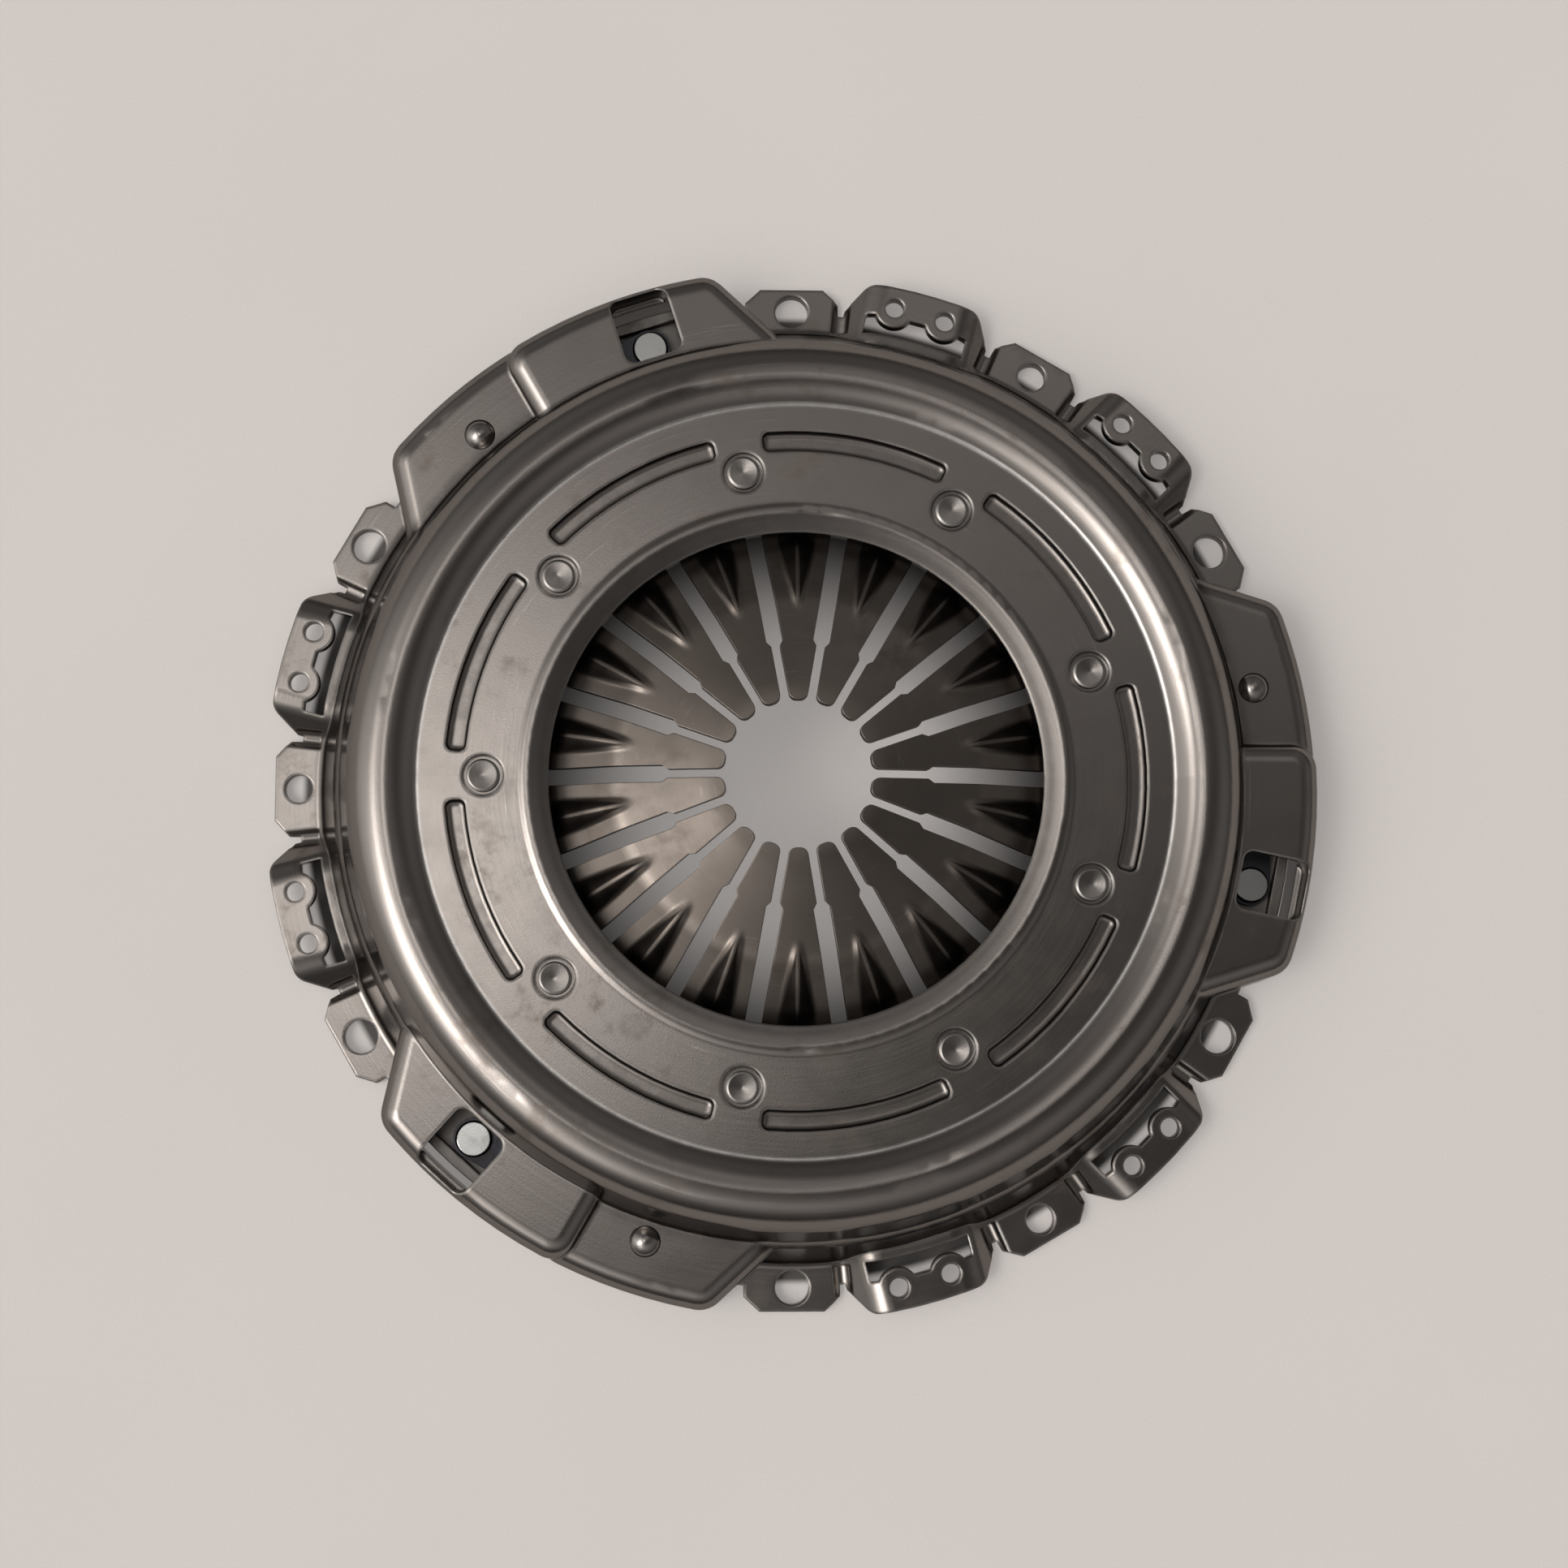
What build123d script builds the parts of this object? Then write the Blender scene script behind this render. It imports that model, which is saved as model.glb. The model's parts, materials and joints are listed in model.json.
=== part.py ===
from build123d import *
from math import acos, cos, degrees, hypot, radians, sin, tan
import os

# Clutch cover assembly of a dry single-plate car clutch, shown free on its mounting face.
# Frame: origin at the centre of the flange face that bolts to the flywheel, +Z towards
# the release bearing, +X through the middle of the first strap pad. Millimetres.
# The pressure plate hangs at its lowest place: the spring is free and the straps are bent.

# ---------------------------------------------------------------- pressed cover
sheet = 3.2                  # steel sheet of the cover
mount_circle_radius = 127.0  # screw and dowel holes
foot_inset = 6.0             # the wall's foot stands this far inside the screw circle
flange_width = 6.0           # from the wall's foot to the edge of the flange
skirt_draft = 17.4           # degrees the lower wall leans in
skirt_height = 19.8          # top of the lower wall
crease_width = 1.6           # narrow ledge above it
crease_rise = 2.2
crease_round = 1.0           # hollow at its inner edge
crease_edge_round = 4.2
foot_round = 2.2             # hollow between the wall and the flange
neck_draft = 15.0            # degrees the upper wall leans in
shoulder_round = 10.0        # outer and inner curve of the raised shoulder ring
shoulder_flat = 0.6          # level strip between the two curves
shoulder_rise = 3.0          # top of the shoulder above the flat ring
step_round = 1.0             # hollow where the shoulder meets the flat ring
step_fill = 0.98             # the share of the step's height taken up by its curves

opening_inset = 16.0         # from the spring rivets' circle to the opening
opening_drop = 0.4           # edge of the opening below the flat ring
lip_inset = 5.9              # from the edge of the opening to the small ridge round it
lip_rise = 0.6
lip_slope = 1.5              # width of the ridge's outer side
lip_round = 4.0

screw_hole_radius = 4.3
dowel_hole_radius = 3.6
tab_margin = 6.0             # a tab reaches this far outside the screw circle
tab_half_width = 8.3
tab_corner_width = 4.0       # a tab's slanted corner, along its end
tab_corner_length = 3.7      # and along its side

ear_hole_radius = 2.4        # bridge-shaped ears with two small holes each
ear_hole_outset = 2.4        # the holes' circle outside the screw circle
ear_hole_spacing = 13.6
ear_margin = 5.6             # an ear reaches this far outside its holes' circle
ear_rise = 6.0
ear_top_half_width = 12.6
ear_slope_width = 6.8
ear_corner_inset = 5.0       # an ear is this much narrower each side at its outer edge
ear_corner_round = 4.2
ear_round = 5.5
ear_root = 1.7               # an ear starts this far inside the wall's foot
ear_slot_margin = 0.7        # the slot beside an ear starts this far outside the wall
ear_scallop_margin = 2.8     # metal left round a hole where the slot bends round it
ear_slot_overrun = 0.8       # the slot runs this far past an ear's level top
ear_gap = 1.2                # width of the notch between a tab and an ear
pocket_radius = 2.4          # pressed pocket between a tab and an ear
pocket_depth = 1.5
pocket_inset = 1.0           # a pocket starts this far outside the wall's foot

pad_overhang = 14.6          # a strap pad reaches this far outside the strap rivets
pad_half_angle = 21.0
pad_foot_half_angle = 26.0
pad_foot_outset = 0.5        # the slanted ends meet the flange this far outside the wall
pad_draft = 3.5
pad_edge_radius = 5.0
pad_step = 3.0               # the half over the lug is this much higher than the other
pad_step_offset = 12.0       # the step between the two, from the pad's middle
pad_corner_radius = 8.0      # corners of a pad seen from above
skin_gap = 0.04              # the higher half of a pad stands this proud of the lower
window_inboard = 5.2         # the window, from the centre of the rivet that shows in it
window_outboard = 12.0
window_half_width = 7.5
window_floor = 15.0          # the window cuts into the outer wall down to here
window_corner = 2.5

groove_inset = 9.7           # pressed arcs; their undersides are the upper fulcrum
groove_width = 5.0
groove_depth = 2.2
groove_floor_round = 1.4
groove_corner_round = 1.7
groove_half_angle = 15.9
bead_margin = 2.0            # the bead under a groove is this much wider each side
bead_round = 4.0
bead_corner_gap = 0.2        # the bead's corners are this much rounder than its edges
groove_count = 9

# ---------------------------------------------------------------- spring and its seat
plate_travel = 4.5           # lift from free to fully released
spring_thickness = 2.6
belt_lever = 17.0            # from the cover's fulcrum out to the plate's
spring_rim_margin = 3.5      # from there to the spring's rim
belt_start_inset = 3.8       # inside this the fingers run flat under the cover
finger_count = 18
finger_bend_inset = 0.5      # the fingers turn up this far inside the opening's edge
finger_ramp_width = 15.5
finger_ramp_rise = 8.3
finger_tip_radius = 18.0
finger_tip_rise = 5.0        # the tips above the top of the ramp
finger_tip_round = 1.3
finger_bend_round = 12.0
narrow_slot_width = 2.1
wide_slot_width = 4.1
slot_step_start = 15.0       # the slots widen this far from the tips
slot_step_length = 1.4
slot_eye_radius = 4.6
rib_start_lead = 2.5         # a stiffening rib is pressed up in the steep part of each finger
rib_end_gap = 0.5
rib_half_width = 3.0
rib_proud = 1.0

spring_rivet_inset = 7.0     # the rivets' circle inside the cover's fulcrum
spring_rivet_shank_radius = 3.0
spring_rivet_neck_step = 0.2 # the neck is this much thicker than the shank
spring_rivet_collar_radius = 7.2
spring_rivet_collar_height = 3.0
spring_rivet_collar_chamfer = 0.5
spring_rivet_head_radius = 4.1
spring_rivet_head_height = 1.3
spring_rivet_head_bevel = 0.6
spring_rivet_edge_height = 0.3
spring_rivet_dish_depth = 0.35
rivet_recess_gap = 1.0       # the recess round a rivet head
rivet_recess_depth = 0.9
fulcrum_ring_inset = 1.5     # the wire ring inside the cover's fulcrum
fulcrum_wire_radius = 1.7
seat_gap = 0.3               # play at the spring's lower seats
fit_gap = 0.05               # play of a rivet in its hole and between strap leaves

# ---------------------------------------------------------------- pressure plate
plate_clearance = 2.1        # between the plate's edge and the inside of the wall
plate_width = 34.5
plate_thickness = 12.0
plate_hang = 3.0             # friction face above the mounting face when free
plate_edge_chamfer = 1.0
fulcrum_stand = 5.64         # centre of the fulcrum's round nose above the plate's back
fulcrum_nose_radius = 4.0
fulcrum_foot_spread = 2.0    # the fulcrum's foot is this much wider each side
vent_count = 9
vent_width = 12.0
vent_floor = 3.0             # a vent's floor above the back of the plate
lug_angle = 12.0             # lug rivet and cover rivet stand this far from the pad's middle
lug_half_width = 9.5
lug_margin = 8.4             # a lug reaches this far outside its rivet
lug_thickness = 5.6
lug_underside = 1.6          # relief of the lug above the friction face
lug_lip_gap = 0.4            # the lip stands on the lug outside the straps
lug_lip_height = 3.0
counterbore_gap = 0.3

# ---------------------------------------------------------------- straps and their rivets
strap_standoff = 4.0         # the strap rivets' circle outside the top of the lower wall
strap_leaf_count = 3
strap_leaf_thickness = 0.75
strap_width = 10.4
strap_flat = 8.0             # the straps are flat this far from a rivet's centre
strap_bend_round = 14.0
strap_drop = 5.2
cover_rivet_shank_radius = 2.6
cover_rivet_head_radius = 3.9
cover_rivet_head_height = 2.0
rivet_spotface_gap = 0.2     # the wall is cut back this far round a rivet head
plate_rivet_shank_radius = 3.0
plate_rivet_head_radius = 4.6
plate_rivet_head_height = 1.3
plate_rivet_head_bevel = 0.5
strap_rivet_tail_radius = 4.4
strap_rivet_tail_height = 1.6

# ---------------------------------------------------------------- derived radii
os.makedirs("parts", exist_ok=True)

pad_count = 3
through = 80.0               # long enough to cut through the whole part
groove_angles = [360 / groove_count * k for k in range(groove_count)]
spring_rivet_angles = [angle + 180 / groove_count for angle in groove_angles]
pad_angles = [360 / pad_count * k for k in range(pad_count)]

# heights, from the friction face up through plate, spring and cover
belt_slope = plate_travel / belt_lever
belt_stretch = hypot(1, belt_slope)
plate_back = plate_hang + plate_thickness
nose_height = plate_back + fulcrum_stand
spring_drop = spring_thickness * belt_stretch
belt_height = (
    nose_height
    + (fulcrum_nose_radius + seat_gap) * belt_stretch
    + spring_drop
    + plate_travel
)
bead_flat = groove_width / 2 + bead_margin - bead_round
bead_height = (
    belt_height
    - bead_round
    + (bead_round + fit_gap) * belt_stretch
    + bead_flat * belt_slope
)
annulus_height = bead_height + sheet + groove_depth
shoulder_height = annulus_height + shoulder_rise
shelf_height = belt_height + belt_start_inset * belt_slope
rim_height = belt_height - (belt_lever + spring_rim_margin) * belt_slope
wire_height = (
    belt_height
    + fulcrum_ring_inset * belt_slope
    - spring_drop
    - fulcrum_wire_radius * belt_stretch
    - seat_gap
)
collar_top = wire_height - fulcrum_wire_radius - fit_gap
finger_crown_height = shelf_height + finger_ramp_rise
finger_tip_height = finger_crown_height + finger_tip_rise
lug_bottom = plate_hang + lug_underside
lug_seat = lug_bottom + lug_thickness
strap_pitch = strap_leaf_thickness + fit_gap
strap_roof = lug_seat + strap_drop + strap_leaf_count * strap_pitch
strap_pad_height = strap_roof + sheet
window_pad_height = strap_pad_height + pad_step

# radii, from the screw circle in
foot_radius = mount_circle_radius - foot_inset
ring_radius = foot_radius + flange_width
skirt_radius = foot_radius - (skirt_height - sheet) * tan(radians(skirt_draft))
neck_radius = skirt_radius - crease_width
neck_height = skirt_height + crease_rise
shoulder_radius = neck_radius - (shoulder_height - neck_height) * tan(radians(neck_draft))
crown_radius = shoulder_radius - shoulder_round * tan(radians(45 - neck_draft / 2))
step_turn = acos(1 - step_fill * shoulder_rise / (shoulder_round + step_round))
step_outer_radius = crown_radius - shoulder_flat - shoulder_round * tan(step_turn / 2)
step_inner_radius = step_outer_radius - shoulder_rise / tan(step_turn)
groove_circle_radius = step_inner_radius - groove_inset
spring_rivet_circle_radius = groove_circle_radius - spring_rivet_inset
opening_radius = spring_rivet_circle_radius - opening_inset
lip_radius = opening_radius + lip_inset
fulcrum_ring_radius = groove_circle_radius - fulcrum_ring_inset
belt_inner_radius = groove_circle_radius - belt_start_inset
plate_fulcrum_radius = groove_circle_radius + belt_lever
spring_rim_radius = plate_fulcrum_radius + spring_rim_margin
finger_bend_radius = opening_radius - finger_bend_inset
finger_crown_radius = finger_bend_radius - finger_ramp_width
slot_step_radius = finger_tip_radius + slot_step_start
plate_outer_radius = skirt_radius - sheet - plate_clearance
plate_inner_radius = plate_outer_radius - plate_width
strap_rivet_radius = skirt_radius + strap_standoff
strap_half_span = strap_rivet_radius * sin(radians(lug_angle))
strap_offset = strap_rivet_radius * cos(radians(lug_angle))
lug_reach = strap_rivet_radius + lug_margin
lug_lip_start = strap_rivet_radius + strap_width / 2 + lug_lip_gap
pad_reach = strap_rivet_radius + pad_overhang
pad_foot_radius = foot_radius + pad_foot_outset
tab_reach = mount_circle_radius + tab_margin
tab_foot_half_width = tab_half_width + tab_corner_width
ear_hole_circle_radius = mount_circle_radius + ear_hole_outset
ear_reach = ear_hole_circle_radius + ear_margin
ear_inner_radius = foot_radius - ear_root
ear_foot_half_width = ear_top_half_width + ear_slope_width
ear_corner_half_width = ear_foot_half_width - ear_corner_inset


def inset(points, distance):
    """Points of a line moved square to itself, to the right of its direction."""
    moved = []
    for i, (x, y) in enumerate(points):
        normals = []
        for a, b in ((i - 1, i), (i, i + 1)):
            if 0 <= a and b < len(points):
                dx = points[b][0] - points[a][0]
                dy = points[b][1] - points[a][1]
                length = hypot(dx, dy)
                normals.append((dy / length, -dx / length))
        nx = sum(n[0] for n in normals) / len(normals)
        ny = sum(n[1] for n in normals) / len(normals)
        scale = distance / (nx * nx + ny * ny)
        moved.append((x + nx * scale, y + ny * scale))
    return moved


def under_rounds(rounds, thickness):
    """Corner radii of the underside of a bent sheet; a hollow of the top is negative."""
    return [r - thickness if r > 0 else thickness - r for r in rounds]


def turned(points, rounds, base):
    """Solid of revolution under a line of points with rounded corners, down to base."""
    with BuildPart() as solid:
        with BuildSketch(Plane.XZ):
            with BuildLine():
                edge = FilletPolyline(*points, radius=[abs(r) for r in rounds])
                Polyline(edge @ 1, (points[-1][0], base), (0, base), (0, points[0][1]), edge @ 0)
            make_face()
        revolve(axis=Axis.Z)
    return solid.part


def bent_sheet(points, rounds, thickness, plane):
    """Section of a bent sheet under its top line; a hollow of the top is negative."""
    with BuildSketch(plane) as section:
        with BuildLine():
            top = FilletPolyline(*points, radius=[abs(r) for r in rounds])
            under = FilletPolyline(
                *inset(points, thickness), radius=under_rounds(rounds, thickness)
            )
            Line(top @ 0, under @ 0)
            Line(top @ 1, under @ 1)
        make_face()
    return section.sketch


def around(angles, shape, mode=Mode.ADD):
    """Adds or cuts a shape once at each angle about the centre line."""
    with Locations(*[Location((0, 0, 0), (0, 0, angle)) for angle in angles]):
        add(shape, mode=mode)


# ---------------------------------------------------------------- cover
outer_points = [
    (opening_radius, annulus_height - opening_drop),
    (lip_radius, annulus_height + lip_rise),
    (lip_radius + lip_slope, annulus_height),
    (step_inner_radius, annulus_height),
    (step_outer_radius, shoulder_height),
    (shoulder_radius, shoulder_height),
    (neck_radius, neck_height),
    (skirt_radius, skirt_height),
    (foot_radius, sheet),
    (ring_radius, sheet),
]
outer_rounds = [
    lip_round,
    -step_round,
    -step_round,
    shoulder_round,
    shoulder_round,
    -crease_round,
    crease_edge_round,
    -foot_round,
]
inner_points = inset(outer_points, sheet)
inner_rounds = under_rounds(outer_rounds, sheet)
dome = turned(outer_points, outer_rounds, 0)
hollow = turned(inner_points[:-1], inner_rounds[:-1], -1)

pad_end = (
    pad_reach * cos(radians(pad_half_angle)),
    pad_reach * sin(radians(pad_half_angle)),
)
pad_foot = (
    pad_foot_radius * cos(radians(pad_foot_half_angle)),
    pad_foot_radius * sin(radians(pad_foot_half_angle)),
)
pad_slant = (pad_foot[1] - pad_end[1]) / (pad_end[0] - pad_foot[0])


def pad_prism(gap, height, low=None, high=None):
    """Block of a strap pad, gap mm inside its outer skin, between its slanted ends.

    low and high, if given, end it at that distance from the pad's middle instead.
    """
    def side(x, limit, sign):
        if limit is None:
            reach = pad_end[1] + (pad_end[0] - x) * pad_slant
            return (x, sign * (reach - gap * hypot(1, pad_slant)))
        return (x, limit - sign * gap)

    near, far = step_inner_radius, pad_reach + pad_edge_radius
    with BuildPart() as prism:
        with BuildSketch() as plan:
            Circle(pad_reach - gap)
            with BuildLine():
                Polyline(
                    side(near, low, -1),
                    side(far, low, -1),
                    side(far, high, 1),
                    side(near, high, 1),
                    close=True,
                )
            make_face(mode=Mode.INTERSECT)
            fillet(plan.vertices(), pad_corner_radius - gap)
        extrude(amount=height - gap, taper=pad_draft)
        fillet(prism.faces().sort_by(Axis.Z)[-1].edges(), pad_edge_radius - gap)
    return prism.part


with BuildPart() as window:
    with BuildSketch(Plane.XY.offset(window_floor)) as window_plan:
        with Locations((strap_rivet_radius + (window_outboard - window_inboard) / 2, 0)):
            Rectangle(window_inboard + window_outboard, 2 * window_half_width)
        fillet(window_plan.vertices(), window_corner)
    extrude(amount=window_pad_height + skin_gap - window_floor)


def pressed_arc(margin, corner_radius, floor, roof, edge_radius):
    """Blunt-ended arc, margin mm wider all round than a groove, with rounded edges."""
    half_width = groove_width / 2 + margin
    half_angle = radians(groove_half_angle) + margin / groove_circle_radius
    reach = 2 * groove_circle_radius
    with BuildPart() as bar:
        with BuildSketch(Plane.XY.offset(floor)) as plan:
            Circle(groove_circle_radius + half_width)
            Circle(groove_circle_radius - half_width, mode=Mode.SUBTRACT)
            with BuildLine():
                Polyline(
                    (0, 0),
                    (reach * cos(half_angle), -reach * sin(half_angle)),
                    (reach * cos(half_angle), reach * sin(half_angle)),
                    close=True,
                )
            make_face(mode=Mode.INTERSECT)
            corners = [v for v in plan.vertices() if abs(v.Y) > half_width]
            fillet(corners, corner_radius)
        extrude(amount=roof - floor)
        fillet(bar.faces().sort_by(Axis.Z)[0].edges(), edge_radius)
    return bar.part


groove = pressed_arc(
    0,
    groove_corner_round,
    annulus_height - groove_depth,
    annulus_height + groove_depth,
    groove_floor_round,
)
bead = pressed_arc(
    bead_margin,
    bead_round + bead_corner_gap,
    bead_height,
    annulus_height - skin_gap,
    bead_round,
)

# A bridge-shaped ear: the strip rises over the flange and comes down again.
ear_top = [
    (-ear_foot_half_width - ear_rise, sheet),
    (-ear_foot_half_width, sheet),
    (-ear_top_half_width, sheet + ear_rise),
    (ear_top_half_width, sheet + ear_rise),
    (ear_foot_half_width, sheet),
    (ear_foot_half_width + ear_rise, sheet),
]
ear_rounds = [-ear_round, ear_round + sheet, ear_round + sheet, -ear_round]
ear_section = bent_sheet(ear_top, ear_rounds, sheet, Plane.YZ)
with BuildPart() as ear:
    extrude(ear_section, amount=ear_reach * 1.2, dir=(1, 0, 0))
    with BuildSketch() as ear_plan:
        Circle(ear_reach)
        Circle(ear_inner_radius, mode=Mode.SUBTRACT)
        with BuildLine():
            Polyline(
                (ear_inner_radius / 2, -ear_foot_half_width),
                (ring_radius, -ear_foot_half_width),
                (ear_reach, -ear_corner_half_width),
                (ear_reach, ear_corner_half_width),
                (ring_radius, ear_foot_half_width),
                (ear_inner_radius / 2, ear_foot_half_width),
                close=True,
            )
        make_face(mode=Mode.INTERSECT)
        ear_corners = [
            v for v in ear_plan.vertices() if v.X > ring_radius and abs(v.Y) > ear_hole_spacing / 2
        ]
        fillet(ear_corners, ear_corner_round)
    extrude(amount=through, mode=Mode.INTERSECT)

ear_hole_offset = ear_hole_spacing / 2
ear_hole_x = (ear_hole_circle_radius**2 - ear_hole_offset**2) ** 0.5
ear_hole_places = [(ear_hole_x, ear_hole_offset), (ear_hole_x, -ear_hole_offset)]
with BuildPart() as ear_slot:
    with BuildSketch():
        Circle(ring_radius)
        Circle(foot_radius + ear_slot_margin, mode=Mode.SUBTRACT)
        with Locations((ring_radius, 0)):
            Rectangle(
                ring_radius,
                2 * (ear_top_half_width + ear_slot_overrun),
                mode=Mode.INTERSECT,
            )
        with Locations(*ear_hole_places):
            Circle(ear_hole_radius + ear_scallop_margin, mode=Mode.SUBTRACT)
    extrude(amount=through, both=True)

with BuildPart() as ear_holes:
    with Locations(*ear_hole_places):
        Cylinder(ear_hole_radius, through)

ear_angles = [angle + 60 + side for angle in pad_angles for side in (-15, 15)]
screw_angles = [60 * k + 30 for k in range(6)]
dowel_angles = [angle + 60 for angle in pad_angles]
notch_turn = degrees((tab_foot_half_width + ear_gap / 2) / ring_radius)
pocket_angles = [
    angle + 60 + side + turn
    for angle in pad_angles
    for side in (-30, 0, 30)
    for turn in (-notch_turn, notch_turn)
    if abs(side + turn) < 30
]

with BuildPart() as tab:
    with BuildSketch():
        with BuildLine():
            Polyline(
                (foot_radius - sheet, -tab_foot_half_width),
                (tab_reach - tab_corner_length, -tab_foot_half_width),
                (tab_reach, -tab_half_width),
                (tab_reach, tab_half_width),
                (tab_reach - tab_corner_length, tab_foot_half_width),
                (foot_radius - sheet, tab_foot_half_width),
                close=True,
            )
        make_face()
    extrude(amount=sheet)

with BuildPart() as pocket:
    with BuildSketch(Plane.YZ.offset(foot_radius + pocket_inset)):
        with Locations((0, sheet - pocket_depth + pocket_radius)):
            Circle(pocket_radius)
    extrude(amount=ear_reach - foot_radius)

with BuildPart() as cover:
    add(dome)
    around(dowel_angles + screw_angles, tab.part)
    # the flange is cut away where an ear stands
    with BuildSketch():
        with Locations(*[Location((0, 0, 0), (0, 0, angle)) for angle in ear_angles]):
            with Locations((ring_radius, 0)):
                Rectangle(2 * (ring_radius - ear_inner_radius), 2 * ear_foot_half_width)
        Circle(foot_radius + ear_slot_margin, mode=Mode.SUBTRACT)
    extrude(amount=sheet, mode=Mode.SUBTRACT)
    around(ear_angles, ear.part)
    around(ear_angles, ear_slot.part, Mode.SUBTRACT)
    around(ear_angles, ear_holes.part, Mode.SUBTRACT)
    around(pocket_angles, pocket.part, Mode.SUBTRACT)
    around(pad_angles, pad_prism(0, strap_pad_height, low=0))
    around(pad_angles, pad_prism(-skin_gap, window_pad_height, high=pad_step_offset))
    add(hollow, mode=Mode.SUBTRACT)
    around(pad_angles, pad_prism(sheet, strap_pad_height, low=0), Mode.SUBTRACT)
    around(
        pad_angles,
        pad_prism(sheet - skin_gap, window_pad_height, high=pad_step_offset),
        Mode.SUBTRACT,
    )
    around([angle - lug_angle for angle in pad_angles], window.part, Mode.SUBTRACT)
    around(groove_angles, bead)
    around(groove_angles, groove, Mode.SUBTRACT)
    Cylinder(opening_radius, through, mode=Mode.SUBTRACT)
    with PolarLocations(mount_circle_radius, len(screw_angles), screw_angles[0]):
        Cylinder(screw_hole_radius, through, mode=Mode.SUBTRACT)
    with PolarLocations(mount_circle_radius, len(dowel_angles), dowel_angles[0]):
        Cylinder(dowel_hole_radius, through, mode=Mode.SUBTRACT)
    with PolarLocations(strap_rivet_radius, pad_count, lug_angle):
        Cylinder(cover_rivet_shank_radius + fit_gap, through, mode=Mode.SUBTRACT)
        with Locations((0, 0, strap_pad_height)):
            Cylinder(
                cover_rivet_head_radius + rivet_spotface_gap,
                cover_rivet_head_height + rivet_spotface_gap,
                align=(Align.CENTER, Align.CENTER, Align.MIN),
                mode=Mode.SUBTRACT,
            )
    with PolarLocations(spring_rivet_circle_radius, groove_count, spring_rivet_angles[0]):
        Cylinder(spring_rivet_shank_radius + fit_gap, through, mode=Mode.SUBTRACT)
        with Locations((0, 0, annulus_height - rivet_recess_depth)):
            Cylinder(
                spring_rivet_head_radius + rivet_recess_gap,
                sheet,
                align=(Align.CENTER, Align.CENTER, Align.MIN),
                mode=Mode.SUBTRACT,
            )
cover.part.label = "cover"
export_step(cover.part, "parts/cover.step")

# ---------------------------------------------------------------- diaphragm spring
spring_points = [
    (finger_tip_radius, finger_tip_height),
    (finger_crown_radius, finger_crown_height),
    (finger_bend_radius, shelf_height),
    (belt_inner_radius, shelf_height),
    (spring_rim_radius, rim_height),
]
spring_rounds = [finger_bend_round, -finger_bend_round, finger_bend_round]
rib_slope = (shelf_height - finger_crown_height) / (finger_bend_radius - finger_crown_radius)
rib_sink = (rib_half_width - rib_proud) * hypot(1, rib_slope)


def rib_axis(radius, depth):
    """Point under the steep part of a finger's top, this far down from it."""
    return (radius, finger_crown_height + (radius - finger_crown_radius) * rib_slope - depth)


rib_start_radius = finger_crown_radius - rib_start_lead
rib_end_radius = finger_bend_radius - rib_end_gap
rib_middle_radius = (rib_start_radius + rib_end_radius) / 2
rib_start = rib_axis(rib_start_radius, rib_sink)
rib_end = rib_axis(rib_end_radius, rib_sink)
rib_middle = rib_axis(rib_middle_radius, -rib_proud)
sheet_middle = rib_axis(rib_middle_radius, spring_thickness / 2)
with BuildPart() as rib:
    with BuildSketch(Plane.XZ):
        with BuildLine():
            ThreePointArc(rib_start, rib_middle, rib_end)
            Line(rib_end, rib_start)
        make_face()
    revolve(axis=Axis((rib_start[0], 0, rib_start[1]), (1, 0, rib_slope)))
    split(bisect_by=Plane((sheet_middle[0], 0, sheet_middle[1]), z_dir=(-rib_slope, 0, 1)))

with BuildSketch() as slot_outline:
    with BuildLine():
        Polyline(
            (finger_tip_radius / 2, -narrow_slot_width / 2),
            (slot_step_radius - slot_step_length, -narrow_slot_width / 2),
            (slot_step_radius, -wide_slot_width / 2),
            (spring_rivet_circle_radius, -wide_slot_width / 2),
            (spring_rivet_circle_radius, wide_slot_width / 2),
            (slot_step_radius, wide_slot_width / 2),
            (slot_step_radius - slot_step_length, narrow_slot_width / 2),
            (finger_tip_radius / 2, narrow_slot_width / 2),
            close=True,
        )
    make_face()
    with Locations((spring_rivet_circle_radius, 0)):
        Circle(slot_eye_radius)

spring_section = bent_sheet(spring_points, spring_rounds, spring_thickness, Plane.XZ)
with BuildPart() as diaphragm_spring:
    add(spring_section)
    revolve(axis=Axis.Z)
    with BuildSketch():
        with PolarLocations(0, finger_count):
            add(slot_outline.sketch)
    extrude(amount=through, mode=Mode.SUBTRACT)
    tip_corners = [
        edge
        for edge in diaphragm_spring.edges()
        if hypot(edge.center().X, edge.center().Y) < finger_tip_radius * 1.1
        and abs((edge @ 0).Z - (edge @ 1).Z) > spring_thickness / 2
    ]
    fillet(tip_corners, finger_tip_round)
    with PolarLocations(0, finger_count, 180 / finger_count):
        add(rib.part)
diaphragm_spring.part.label = "diaphragm_spring"
export_step(diaphragm_spring.part, "parts/diaphragm_spring.step")

# ---------------------------------------------------------------- fulcrum ring and rivets
with BuildPart() as fulcrum_ring:
    with Locations((0, 0, wire_height)):
        Torus(fulcrum_ring_radius, fulcrum_wire_radius)
fulcrum_ring.part.label = "fulcrum_ring"
export_step(fulcrum_ring.part, "parts/fulcrum_ring.step")

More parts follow.
